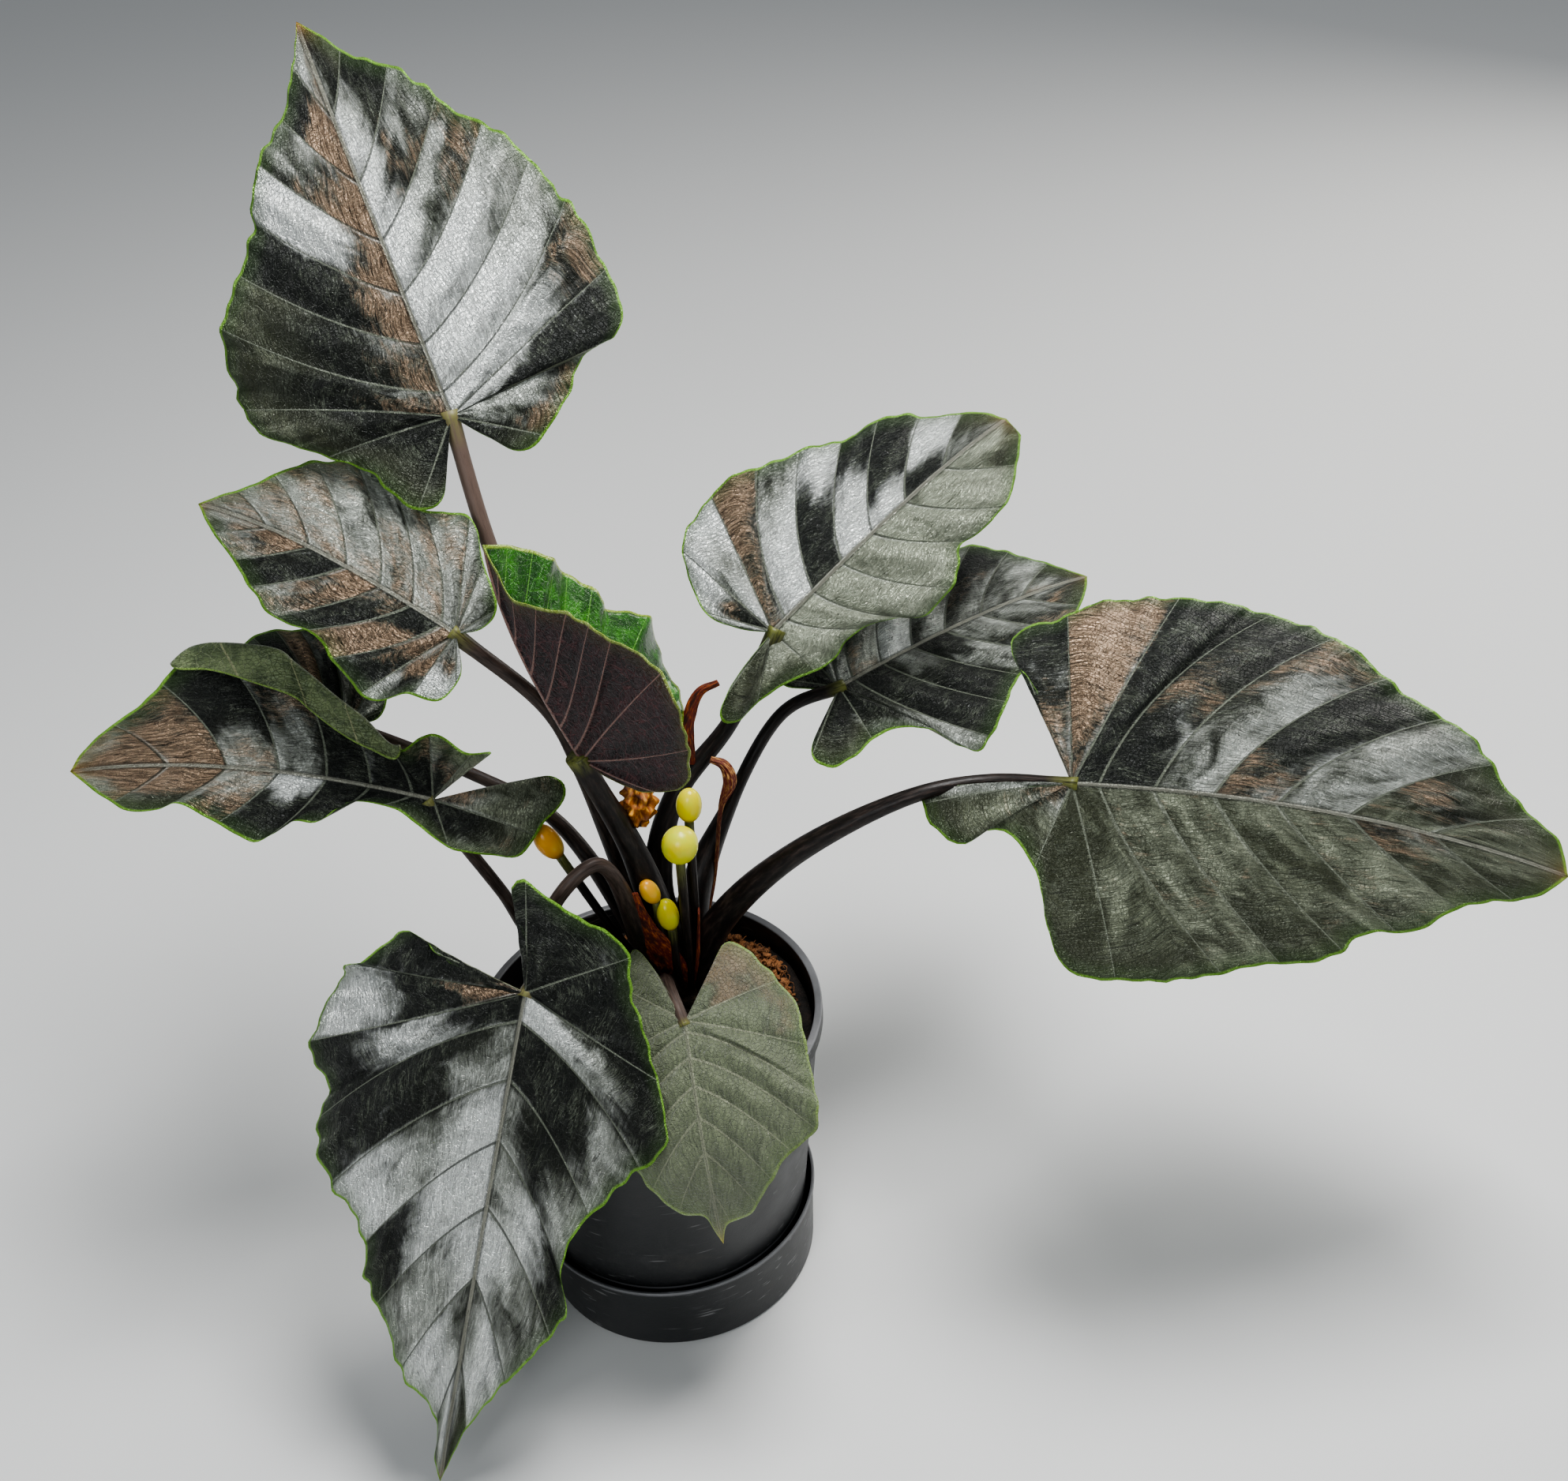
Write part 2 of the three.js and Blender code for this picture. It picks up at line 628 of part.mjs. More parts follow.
function spathe({ at, lean, length, radius }, grow = 0) {
  const axis = vector(lean).normalize().multiplyScalar(length / 2);
  const centre = vector(at);
  const ends = [centre.clone().sub(axis), centre, centre.clone().add(axis)];
  const size = (t) => {
    const r = radius * Math.sqrt(Math.max(1 - (2 * t - 1) ** 2, 0.04)) + grow;
    return [r, r];
  };
  return stem(ends.map((p) => p.toArray()), size, 10, 8);
}

function stalk({ at, lean, length, foot: [x, y] }, grow = 0) {
  const axis = vector(lean).normalize().multiplyScalar(length / 2);
  const head = vector(at).sub(axis);
  const foot = new THREE.Vector3(x, y, STALK.start);
  const middle = foot.clone().lerp(head, 0.5);
  middle.y -= 3;
  const route = [foot, middle, head].map((p) => p.toArray());
  const r = STALK.radius + grow;
  return stem(route, () => [r, r], 6, 7);
}

// Papery bud sheaths and withered spathes: a route from the foot up, half the width and depth, and
// the share of the length at which each is widest, with the spread of that swelling
const DRY = {
  sheath_1: { route: [[15, 8, 164], [14, 2, 190], [4, 0, 216], [0, -2, 240]], size: [7, 1] },
  sheath_2: { route: [[22, 12, 166], [27, 9, 190], [30, 10, 216]], size: [6, 1] },
  dry_spathe_1: {
    route: [[24, 26, 168], [37, 36, 210], [45, 37, 257], [50, 38, 270], [48, 39, 279], [42, 40, 282]],
    size: [4, 3], peak: 0.88, spread: 0.1,
  },
  dry_spathe_2: { route: [[33, 46, 276], [33, 48, 298], [40, 52, 312], [49, 53, 316]], size: [3, 1.6] },
  dry_spathe_3: { route: [[6, 12, 270], [9, 14, 282], [9, 17, 294]], size: [7, 7] },
};

function dryScale({ route, size: [wide, deep], peak = 0.45, spread = 0.5 }) {
  const swell = (t) => 0.3 + 0.7 * Math.exp(-(((t - peak) / spread) ** 2));
  return stem(route, (t) => [wide * swell(t), Math.max(deep * swell(t), 0.5)], 8, 14);
}

// Assembly: a piece is cut back to a narrow gap where it meets one that is already placed
const placed = [];

function seat(body) {
  return largest(placed.reduce((cut, other) => cut.subtract(other), body));
}

add("saucer", saucer(), BLACK_PLASTIC);
add("pot", pot(), BLACK_PLASTIC);
add("potting_mix", largest(pottingMix().subtract(crown(GAP))), MIX_BROWN);
add("crown", crown(), CROWN_BROWN);
placed.push(crown(GAP));

LEAVES.forEach((leaf, i) => {
  const material = leaf.young ? LEAF_YOUNG : leaf.old ? LEAF_OLD : LEAF_VELVET;
  add(`leaf_${i + 1}`, blade(leaf), material);
  placed.push(blade(leaf, BLADE_GAP));
});

const ORDER = [5, 1, 6, 2, 8, 7, 9, 4, 10, 3]; // the youngest petiole is the innermost
for (const number of ORDER) {
  add(`petiole_${number}`, seat(petiole(number - 1)), PETIOLE_DARK);
  placed.push(petiole(number - 1, GAP));
}

SPATHES.forEach((one, i) => {
  add(`spathe_${i + 1}`, seat(spathe(one)), one.ripe ? SPATHE_YELLOW : SPATHE_ORANGE);
  placed.push(spathe(one, GAP));
});
SPATHES.forEach((one, i) => {
  add(`stalk_${i + 1}`, seat(stalk(one)), PETIOLE_DARK);
  placed.push(stalk(one, GAP));
});

for (const [name, one] of Object.entries(DRY)) add(name, seat(dryScale(one)), DRY_RED);

export default object;
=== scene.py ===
# Potted velvet-leaved alocasia: fine leaves, stems, mix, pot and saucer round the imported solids.
import math

import bmesh
import bpy
import numpy as np
from mathutils import Matrix, Vector


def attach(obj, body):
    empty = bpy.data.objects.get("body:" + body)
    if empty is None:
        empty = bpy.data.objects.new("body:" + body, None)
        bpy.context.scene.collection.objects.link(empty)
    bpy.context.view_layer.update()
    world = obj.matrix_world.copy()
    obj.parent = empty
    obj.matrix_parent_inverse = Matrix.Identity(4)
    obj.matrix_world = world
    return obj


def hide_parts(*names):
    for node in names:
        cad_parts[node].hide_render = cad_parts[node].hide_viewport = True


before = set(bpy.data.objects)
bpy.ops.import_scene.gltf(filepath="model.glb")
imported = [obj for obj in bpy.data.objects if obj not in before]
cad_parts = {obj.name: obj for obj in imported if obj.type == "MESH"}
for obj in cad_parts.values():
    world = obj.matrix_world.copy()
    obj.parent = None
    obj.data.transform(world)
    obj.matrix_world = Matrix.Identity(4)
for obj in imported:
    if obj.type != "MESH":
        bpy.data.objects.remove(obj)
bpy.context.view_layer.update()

MM = 0.001


# Shader building
class Value:
    """An output of a shader node. Arithmetic with it adds math nodes."""

    def __init__(self, shader, socket):
        self.shader, self.socket = shader, socket

    def math(self, operation, other=0.0):
        return self.shader.math(operation, self, other)

    def __add__(self, other):
        return self.math("ADD", other)

    def __mul__(self, other):
        return self.math("MULTIPLY", other)

    def __truediv__(self, other):
        return self.math("DIVIDE", other)

    def __sub__(self, other):
        return self.math("SUBTRACT", other)

    def __rsub__(self, other):
        return self.shader.math("SUBTRACT", other, self)

    __radd__, __rmul__ = __add__, __mul__


class Shader:
    def __init__(self, name):
        self.material = bpy.data.materials.new(name)
        self.material.use_nodes = True
        self.tree = self.material.node_tree
        self.tree.nodes.clear()
        self.surface = self.tree.nodes.new("ShaderNodeBsdfPrincipled")
        output = self.tree.nodes.new("ShaderNodeOutputMaterial")
        self.tree.links.new(self.surface.outputs[0], output.inputs[0])

    def fill(self, socket, value):
        if isinstance(value, Value):
            self.tree.links.new(value.socket, socket)
        elif isinstance(value, tuple) and socket.type == "RGBA":
            socket.default_value = (*value, 1.0)
        else:
            socket.default_value = value

    def add(self, kind, inputs, out=0, **settings):
        node = self.tree.nodes.new("ShaderNode" + kind)
        for key, value in settings.items():
            setattr(node, key, value)
        for key, value in inputs.items():
            self.fill(node.inputs[key], value)
        return Value(self, node.outputs[out])

    def math(self, operation, a, b=0.0):
        return self.add("Math", {0: a, 1: b}, operation=operation)

    def mix(self, share, a, b):
        return self.add("Mix", {0: share, 6: a, 7: b}, out=2, data_type="RGBA")

    def coats(self, color, *layers):
        """Layers of (share, colour) one over another."""
        for share, layer in layers:
            color = self.mix(share, color, layer)
        return color

    def step(self, value, low, high):
        inputs = {"Value": value, "From Min": low, "From Max": high}
        return self.add("MapRange", inputs, interpolation_type="SMOOTHSTEP")

    def near(self, value, full, none):
        """One up to a first distance, and nothing past a second."""
        return 1 - self.step(value, full, none)

    def parts(self, vector):
        node = self.tree.nodes.new("ShaderNodeSeparateXYZ")
        self.fill(node.inputs[0], vector)
        return [Value(self, out) for out in node.outputs]

    def read(self, name):
        """The three parts of a vector attribute."""
        return self.parts(self.add("Attribute", {}, out="Vector", attribute_name=name))

    def vector(self, x, y, z=0.0):
        return self.add("CombineXYZ", {0: x, 1: y, 2: z})

    def place(self):
        return self.add("TexCoord", {}, out="Object")

    def noise(self, where, scale, detail=3.0, rough=0.5, warp=0.0):
        inputs = {"Vector": where, "Scale": scale, "Detail": detail}
        inputs.update({"Roughness": rough, "Distortion": warp})
        return self.add("TexNoise", inputs)

    def cells(self, where, scale):
        return self.add("TexVoronoi", {"Vector": where, "Scale": scale}, feature="DISTANCE_TO_EDGE")

    def bump(self, height, strength, depth, normal=None):
        inputs = {"Height": height, "Strength": strength, "Distance": depth}
        if normal is not None:
            inputs["Normal"] = normal
        return self.add("Bump", inputs)

    def done(self, **inputs):
        for key, value in inputs.items():
            self.fill(self.surface.inputs[key.replace("_", " ")], value)
        return self.material


class BladeShader(Shader):
    """A face of a blade. Its marks tell where a point lies between the veins and how near to them."""

    def __init__(self, name):
        super().__init__(name)
        vein, share, reach = self.read("lay")
        rib, edge, pitch = self.read("near")
        along, out, seed = self.read("flat")
        # The silver of a tone is partly the leaf's own and partly painted sheen
        self.silver, self.copper, self.green = self.read("tone")
        self.tip = self.add("Attribute", {}, out="Fac", attribute_name="tip")
        self.vein, self.rib, self.seed = vein, rib, seed
        self.flat = self.vector(along, out, seed)
        self.depth = share * reach
        self.inner = 1 - share
        # Lateral veins lie where the vein number is whole, and thin out towards the margin
        self.beside = (vein - vein.math("ROUND")) * pitch
        width = self.inner * 0.04 + 0.032
        self.lateral = self.near(self.beside.math("ABSOLUTE") / width, 0.45, 1.0)
        self.lines = self.lateral.math("MAXIMUM", self.near(rib, 0.06, 0.1))
        # Short ripples lie across the space between two veins, and patches lie along it
        bend = (vein * 6.2832).math("SINE") * 0.12
        self.across = (self.depth + bend) * 6.5
        self.ripple = self.noise(self.vector(vein * 1.9, self.across, seed), 1.0, 3.0, 0.55, 0.35)
        self.streak = self.noise(self.vector(vein * 2.2, self.depth, seed), 1.0, 4.0, 0.6, 0.6)
        self.blotch = self.noise(self.flat, 0.8, 3.0, 0.6)
        self.net = self.near(self.cells(self.flat, 1.9), 0.0, 0.05)
        self.fine = self.near(self.cells(self.flat, 5.0), 0.0, 0.09)
        self.margin = self.near(edge, 0.05, 0.15)
        self.fringe = self.near(edge, 0.1, 0.9)

    def finish(self, color, smooth, spread=0.2, ripple=None, **inputs):
        """Relief of the ripples, the fine net and the veins, and a roughness that follows the ripples."""
        ripple = ripple or self.ripple
        normal = self.bump(ripple - self.fine * 0.25, 0.85, 0.0016)
        normal = self.bump(self.lines * 0.6 - self.net * 0.5, 0.5, 0.0006, normal)
        rough = ripple * spread + smooth
        return self.done(Base_Color=color, Roughness=rough, Normal=normal, **inputs)


def velvet_top():
    s = BladeShader("leaf_velvet_top")
    cloud = s.noise(s.vector(s.vein * 2.0, s.depth * 0.4, s.seed), 1.0, 4.0, 0.6, 0.7)
    crinkle = s.noise(s.vector(s.vein * 2.6, s.across, s.seed), 1.3, 4.0, 0.6, 1.0)
    grain = crinkle - 0.5
    # Each space between two veins is painted as a shallow trough lit on one side: painted light on one side
    # and painted shade on the other, and the copper moves towards the shaded side
    slope = (0.5 - s.vein.math("FRACT")) * (s.blotch * 3.0 - 0.9) * (1 - s.green * 0.6)
    # Share of silver: the leaf's own silver with painted sheen from the looks, the painted trough shading,
    # and painted light on the crests of the crinkles
    shine = (cloud - 0.5) * 1.5 + s.silver + slope * 0.6 + grain * 0.5
    shine = s.step(shine, 0.3, 1.25).math("POWER", 1.25)
    warm = (s.streak - 0.5) * 1.2 + s.copper - slope * 0.4 + grain * 0.6
    warm = s.step(warm, 0.4, 0.95)
    bright = shine.math("MAXIMUM", warm)
    dark = s.mix(s.green, (0.003, 0.0045, 0.0035), (0.036, 0.041, 0.022))
    pale = s.mix(s.green, (0.86, 0.89, 0.86), (0.4, 0.44, 0.3))
    # Copper with painted shade in the hollows of the crinkles and painted light on their crests
    gold_with_painted_shading = s.mix(s.step(crinkle, 0.3, 0.6), (0.07, 0.045, 0.028), (0.45, 0.32, 0.215))
    # Crinkles are fine dark lines on the shine, and pale ones on the dark, and the hollows of the crinkles
    # get painted shade
    crease = s.near(grain.math("ABSOLUTE"), 0.0, 0.05) * s.step(s.streak + bright, 0.45, 0.62)
    line = s.mix(bright, (0.16, 0.18, 0.135), (0.03, 0.033, 0.027))
    threads = s.mix(bright, (0.2, 0.22, 0.17), (0.03, 0.034, 0.028))
    # Painted highlight along one side of each lateral vein, on the bright parts
    painted_glint = s.step(s.beside, 0.03, 0.07) - s.step(s.beside, 0.08, 0.16)
    color = s.coats(
        s.mix(shine, dark, pale),
        (warm * 0.85, gold_with_painted_shading),
        (crease * 0.6, line),
        # Painted shade in the hollows of the crinkles
        (s.near(crinkle, 0.26, 0.44) * 0.6, (0.014, 0.017, 0.013)),
        (s.fringe * 0.4, (0.045, 0.09, 0.022)),
        (s.net * 0.08, threads),
        (painted_glint * bright * s.inner * 0.6, (0.6, 0.62, 0.58)),
        (s.lateral * 0.8, threads),
        # Painted shade in a groove along each side of the pale midrib
        (s.near(s.rib, 0.1, 0.2) * 0.6, (0.02, 0.022, 0.018)),
        (s.near(s.rib, 0.06, 0.1) * 0.8, (0.34, 0.34, 0.28)),
        (s.margin, (0.2, 0.42, 0.05)),
        (s.tip, (0.62, 0.32, 0.08)),
    )
    return s.finish(
        color, 0.2, 0.22, crinkle, Metallic=bright * 0.5 + 0.2, Sheen_Weight=0.04,
        Specular_IOR_Level=0.35,
    )


def young_top():
    s = BladeShader("leaf_young_top")
    shade = s.noise(s.vector(s.vein * 2.0, s.depth, s.seed), 0.9)
    color = s.coats(
        s.mix(s.step(s.blotch, 0.3, 0.75), (0.008, 0.05, 0.004), (0.05, 0.25, 0.01)),
        (s.step(shade, 0.5, 0.7), (0.01, 0.06, 0.004)),
        (s.net * 0.3, (0.1, 0.36, 0.03)),
        (s.lines * 0.7, (0.16, 0.4, 0.06)),
        (s.margin, (0.3, 0.42, 0.05)),
    )
    return s.finish(color, 0.18, Metallic=0.0, Coat_Weight=0.5, Coat_Roughness=0.12)


def old_top():
    s = BladeShader("leaf_old_top")
    along, out, seed = s.read("flat")
    specks = s.cells(s.vector(out, along, seed), 2.6)
    shine = (s.streak - 0.5) * 0.8 + s.silver + s.ripple * 1.1 - 0.55
    warm = s.step((s.blotch - 0.5) * 1.4 + s.copper, 0.4, 1.0)
    dust = s.noise(s.flat, 9.0, 1.0).math("GREATER_THAN", 0.72)
    color = s.coats(
        s.mix(s.step(shine, 0.0, 1.1), (0.026, 0.034, 0.016), (0.15, 0.175, 0.1)),
        (warm * 0.6, (0.22, 0.15, 0.09)),
        (s.lines * 0.7, (0.24, 0.25, 0.17)),
        (s.fine * 0.15, (0.2, 0.21, 0.15)),
        (dust * s.step(specks, 0.3, 0.5), (0.5, 0.48, 0.38)),
        (s.fringe * 0.3, (0.09, 0.15, 0.03)),
        (s.margin, (0.2, 0.3, 0.06)),
        (s.tip, (0.8, 0.66, 0.02)),
    )
    return s.finish(color, 0.45, Metallic=0.1, Sheen_Weight=0.3, Sheen_Roughness=0.5)


def young_under():
    s = BladeShader("leaf_young_under")
    color = s.coats(
        s.mix(s.step(s.streak, 0.35, 0.75), (0.009, 0.004, 0.004), (0.045, 0.012, 0.014)),
        (s.net * 0.35, (0.2, 0.06, 0.06)),
        (s.fringe * 0.5, (0.07, 0.05, 0.015)),
        (s.lines * 0.85, (0.3, 0.17, 0.14)),
        (s.margin, (0.2, 0.26, 0.05)),
    )
    return s.finish(color, 0.28, Metallic=0.1, Sheen_Weight=0.15, Sheen_Roughness=0.4)


def velvet_under():
    s = BladeShader("leaf_velvet_under")
    color = s.coats(
        s.mix(s.step(s.streak, 0.3, 0.75), (0.06, 0.085, 0.035), (0.19, 0.24, 0.11)),
        (s.net * 0.5, (0.27, 0.31, 0.16)),
        (s.lines * 0.8, (0.32, 0.33, 0.18)),
        (s.margin, (0.2, 0.32, 0.06)),
        (s.tip, (0.3, 0.16, 0.05)),
    )
    return s.finish(color, 0.35, Metallic=0.1, Sheen_Weight=0.2, Sheen_Roughness=0.4)


def stem_material():
    """Skin of a stem. run is (length in cm, cosine, sine), and tone is three shares: of the length, of
    the paler colour and of the joint's colour."""
    s = Shader("petiole_skin")
    run, cosine, sine = s.read("run")
    _, pale, end = s.read("tone")
    streaks = s.noise(s.vector(run * 0.35, cosine, sine), 3.0, 4.0, 0.65)
    mottle = s.noise(s.vector(run, cosine, sine), 5.0, 3.0, 0.6)
    color = s.coats(
        (0.006, 0.0045, 0.004),
        (s.step(streaks * 0.8 + pale, 0.35, 1.15), (0.15, 0.105, 0.085)),
        (s.step(mottle, 0.6, 0.75) * 0.4, (0.06, 0.016, 0.012)),
        (end * s.step(streaks, 0.25, 0.6), (0.2, 0.22, 0.05)),
    )
    normal = s.bump(streaks, 0.35, 0.0006)
    rough = mottle * 0.3 + 0.26
    return s.done(Base_Color=color, Roughness=rough, Normal=normal, Specular_IOR_Level=0.3)


def waxy_material(name, base, flush):
    s = Shader(name)
    place = s.place()
    patch = s.noise(place, 90.0)
    foot = s.near(s.read("run")[0], 0.0, 0.5)
    color = s.coats(base, (s.step(patch, 0.35, 0.7), flush), (foot, (0.28, 0.14, 0.02)))
    normal = s.bump(s.noise(place, 500.0, 2.0), 0.15, 0.0004)
    return s.done(
        Base_Color=color, Roughness=patch * 0.2 + 0.22, Normal=normal, Subsurface_Weight=0.15,
        Subsurface_Scale=0.004,
    )


def dry_material(name, base, pale, brown):
    s = Shader(name)
    run, cosine, sine = s.read("run")
    ridge = s.noise(s.vector(run * 0.5, cosine, sine), 6.0, 3.0, 0.6)
    patch = s.noise(s.vector(run, cosine, sine), 1.4)
    color = s.coats(base, (s.step(ridge, 0.45, 0.7), pale), (s.step(patch, 0.45, 0.7), brown))
    return s.done(Base_Color=color, Roughness=ridge * 0.3 + 0.45, Normal=s.bump(ridge, 0.8, 0.001))


def plastic_material():
    s = Shader("black_plastic")
    place = s.place()
    x, y, z = s.parts(place)
    grain = s.noise(place, 900.0, 2.0)
    drag = s.noise(s.vector(x * 0.6, y * 0.6, z), 60.0, 5.0, 0.7)
    drip = s.noise(s.vector(x, y, z * 0.12), 90.0, 4.0, 0.6)
    dust = s.noise(place, 26.0, 5.0, 0.65)
    scratch = s.noise(s.vector(x * 0.15, y, z * 4.0), 150.0, 2.0)
    marks = s.step(scratch, 0.63, 0.7) * s.step(dust, 0.45, 0.6)
    # Painted highlights along the rims of the saucer and the pot, patchy with the dust
    painted_rim_highlights = s.step(z, 0.0412, 0.0418) - s.step(z, 0.0427, 0.0433) + s.step(z, 0.1622, 0.1632)
    bloom = s.step(drag, 0.5, 0.85) * 0.5 + s.step(drip, 0.58, 0.8) * 0.3
    # Painted highlight on sharp edges, read from the pointiness
    painted_edge_highlight = s.add("NewGeometry", {}, out="Pointiness") - 0.5
    color = s.coats(
        (0.010, 0.011, 0.012),
        (bloom, (0.045, 0.045, 0.045)),
        (s.step(dust, 0.56, 0.75) * 0.3, (0.075, 0.068, 0.056)),
        (marks * 0.6, (0.22, 0.22, 0.22)),
        (painted_rim_highlights * (dust * 0.8 + 0.1), (0.25, 0.25, 0.26)),
        (s.step(painted_edge_highlight, 0.01, 0.08) * 0.8, (0.3, 0.31, 0.32)),
    )
    normal = s.bump(grain, 0.12, 0.0003, s.bump(drag, 0.1, 0.0006))
    return s.done(Base_Color=color, Roughness=dust * 0.35 + 0.24, Normal=normal)


def mix_material(name, dark, mid, bright):
    s = Shader(name)
    clump = s.noise(s.place(), 120.0, 5.0, 0.7)
    grain = s.noise(s.place(), 600.0, 4.0, 0.7)
    color = s.coats(dark, (s.step(clump, 0.4, 0.68), mid), (s.step(grain, 0.6, 0.75) * 0.6, bright))
    return s.done(Base_Color=color, Roughness=0.9, Normal=s.bump(grain * 0.5 + clump, 1.0, 0.003))


def bark_material():
    s = Shader("coir_and_bark")
    fibre = s.noise(s.vector(*s.read("run")), 1.6, 4.0, 0.7)
    speck = s.noise(s.place(), 260.0)
    color = s.coats(
        (0.03, 0.014, 0.007),
        (s.read("tone")[0], (0.42, 0.17, 0.06)),
        (s.step(fibre, 0.45, 0.75) * 0.7, (0.5, 0.27, 0.12)),
        (s.step(speck, 0.5, 0.7) * 0.7, (0.02, 0.01, 0.006)),
    )
    return s.done(Base_Color=color, Roughness=0.85, Normal=s.bump(fibre, 0.9, 0.001))


VELVET, VELVET_UNDER = velvet_top(), velvet_under()
YOUNG, YOUNG_UNDER = young_top(), young_under()
OLD = old_top()
STEM = stem_material()
YELLOW = waxy_material("spathe_yellow", (0.72, 0.62, 0.01), (0.62, 0.66, 0.03))
ORANGE = waxy_material("spathe_orange", (0.78, 0.36, 0.02), (0.75, 0.5, 0.04))
DRY_RED = dry_material("dry_red", (0.15, 0.014, 0.008), (0.6, 0.16, 0.03), (0.04, 0.007, 0.005))
DRY_CREAM = dry_material("dry_cream", (0.13, 0.012, 0.01), (0.75, 0.42, 0.14), (0.16, 0.03, 0.02))
DRY_ORANGE = dry_material("dry_orange", (0.3, 0.09, 0.01), (0.75, 0.36, 0.05), (0.06, 0.015, 0.006))
PLASTIC = plastic_material()
MIX = mix_material("potting_mix", (0.004, 0.003, 0.002), (0.02, 0.012, 0.008), (0.1, 0.05, 0.025))
CROWN_SKIN = mix_material("crown_skin", (0.02, 0.012, 0.008), (0.07, 0.042, 0.022), (0.16, 0.1, 0.05))
BARK = bark_material()


# Mesh building
def linked(name, data):
    """A new object in the scene."""
    obj = bpy.data.objects.new(name, data)
    bpy.context.scene.collection.objects.link(obj)
    return obj


def piece(name, verts, faces, materials, slot, replaced=None, marks=None, indices=None):
    """An object of verts in mm. marks are point attributes: three numbers or one for each vertex."""
    mesh = bpy.data.meshes.new(name)
    mesh.from_pydata((np.asarray(verts) * MM).tolist(), [], [list(f) for f in faces])
    for key, values in (marks or {}).items():
        values = np.asarray(values, dtype=np.float32)
        kind, field = ("FLOAT", "value") if values.ndim == 1 else ("FLOAT_VECTOR", "vector")
        mesh.attributes.new(key, kind, "POINT").data.foreach_set(field, values.ravel())
    for material in materials:
        mesh.materials.append(material)
    if indices is not None:
        mesh.polygons.foreach_set("material_index", np.asarray(indices, dtype=np.int32))
    mesh.polygons.foreach_set("use_smooth", np.ones(len(mesh.polygons), dtype=bool))
    mesh.update()
    obj = linked(name, mesh)
    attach(obj, "root")
    if replaced:
        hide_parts(replaced)
    return obj


def welded(verts, faces, marks, indices):
    """Vertices at one place become one, and faces that collapse are left out."""
    keys = np.round(verts, 3)
    _, first, inverse = np.unique(keys, axis=0, return_index=True, return_inverse=True)
    inverse = inverse.reshape(-1)
    kept, kept_indices = [], []
    for face, index in zip(inverse[faces], indices):
        ring = [v for i, v in enumerate(face) if v != face[i - 1]]
        if len(set(ring)) == len(ring) and len(ring) > 2:
            kept.append(ring)
            kept_indices.append(index)
    return verts[first], kept, {k: v[first] for k, v in marks.items()}, kept_indices


def unit(vectors):
    return vectors / np.linalg.norm(vectors, axis=-1, keepdims=True)


def walked(line):
    """Length along a line up to each of its points."""
    return np.concatenate([[0], np.cumsum(np.linalg.norm(np.diff(line, axis=0), axis=1))])


def even(line, shares):
    """Points at these shares of a polyline's length."""
    lengths = walked(line)
    want = np.asarray(shares) * lengths[-1]
    return np.stack([np.interp(want, lengths, line[:, k]) for k in range(line.shape[1])], 1)


def circle(radius, z, sides, x=0, y=0):
    turn = [2 * math.pi * k / sides for k in range(sides)]
    return [(x + radius * math.cos(a), y + radius * math.sin(a), z) for a in turn]


def tube_faces(start, rings, sides):
    """Quads between rings of vertices, and a cap on each end."""
    faces = []
    for i in range(rings - 1):
        for k in range(sides):
            a, b = start + i * sides + k, start + i * sides + (k + 1) % sides
            faces.append([a, b, b + sides, a + sides])
    last = start + (rings - 1) * sides
    faces.append(list(range(start, start + sides))[::-1])
    faces.append(list(range(last, last + sides)))
    return faces


def tubes(lines, radius, sides=5):
    """Many thin tubes as one mesh: verts, faces."""
    verts, faces = [], []
    for line in lines:
        line = np.asarray(line, float)
        faces += tube_faces(len(verts), len(line), sides)
        for i, p in enumerate(line):
            along = unit(line[min(i + 1, len(line) - 1)] - line[max(i - 1, 0)])
            side = unit(np.cross(along, [0.31, 0.2, 0.93]))
            other = np.cross(along, side)
            for a, b, _ in circle(radius, 0, sides):
                verts.append(p + a * side + b * other)
    return verts, faces


# Blades, in the same terms as the solids
BLADE = dict(bow=0.08, rib_ease=0.68, full_width=60.0, quilt=2.3)
RIB_ROWS, LOBE_ROWS, LOBE_SPAN = 13, 7, 50.0
ROWS = RIB_ROWS + LOBE_ROWS
FINE_RIB, FINE_LOBE, FINE_COLUMNS, COLUMN_EASE = 90, 64, 34, 1.25
OUTLINE_POINTS, BEND_STEPS = 1201, 12
# Slopes of the line from the stalk out on which the last vein of the midrib ends, here and in the solids
VEIN_SLANT, SOLID_SLANT = 0.75, 0.25
HALF_THICK = 0.3
# Half widths of the midrib and of a lateral vein, and how far each rises off the top and the underside
RIB_WIDTH, RIB_TOP, RIB_UNDER = 1.5, 0.5, 1.2
LATERAL_WIDTH, LATERAL_TOP, LATERAL_UNDER = 0.9, -0.3, 0.6
SIDES = {"left": 1, "right": -1}
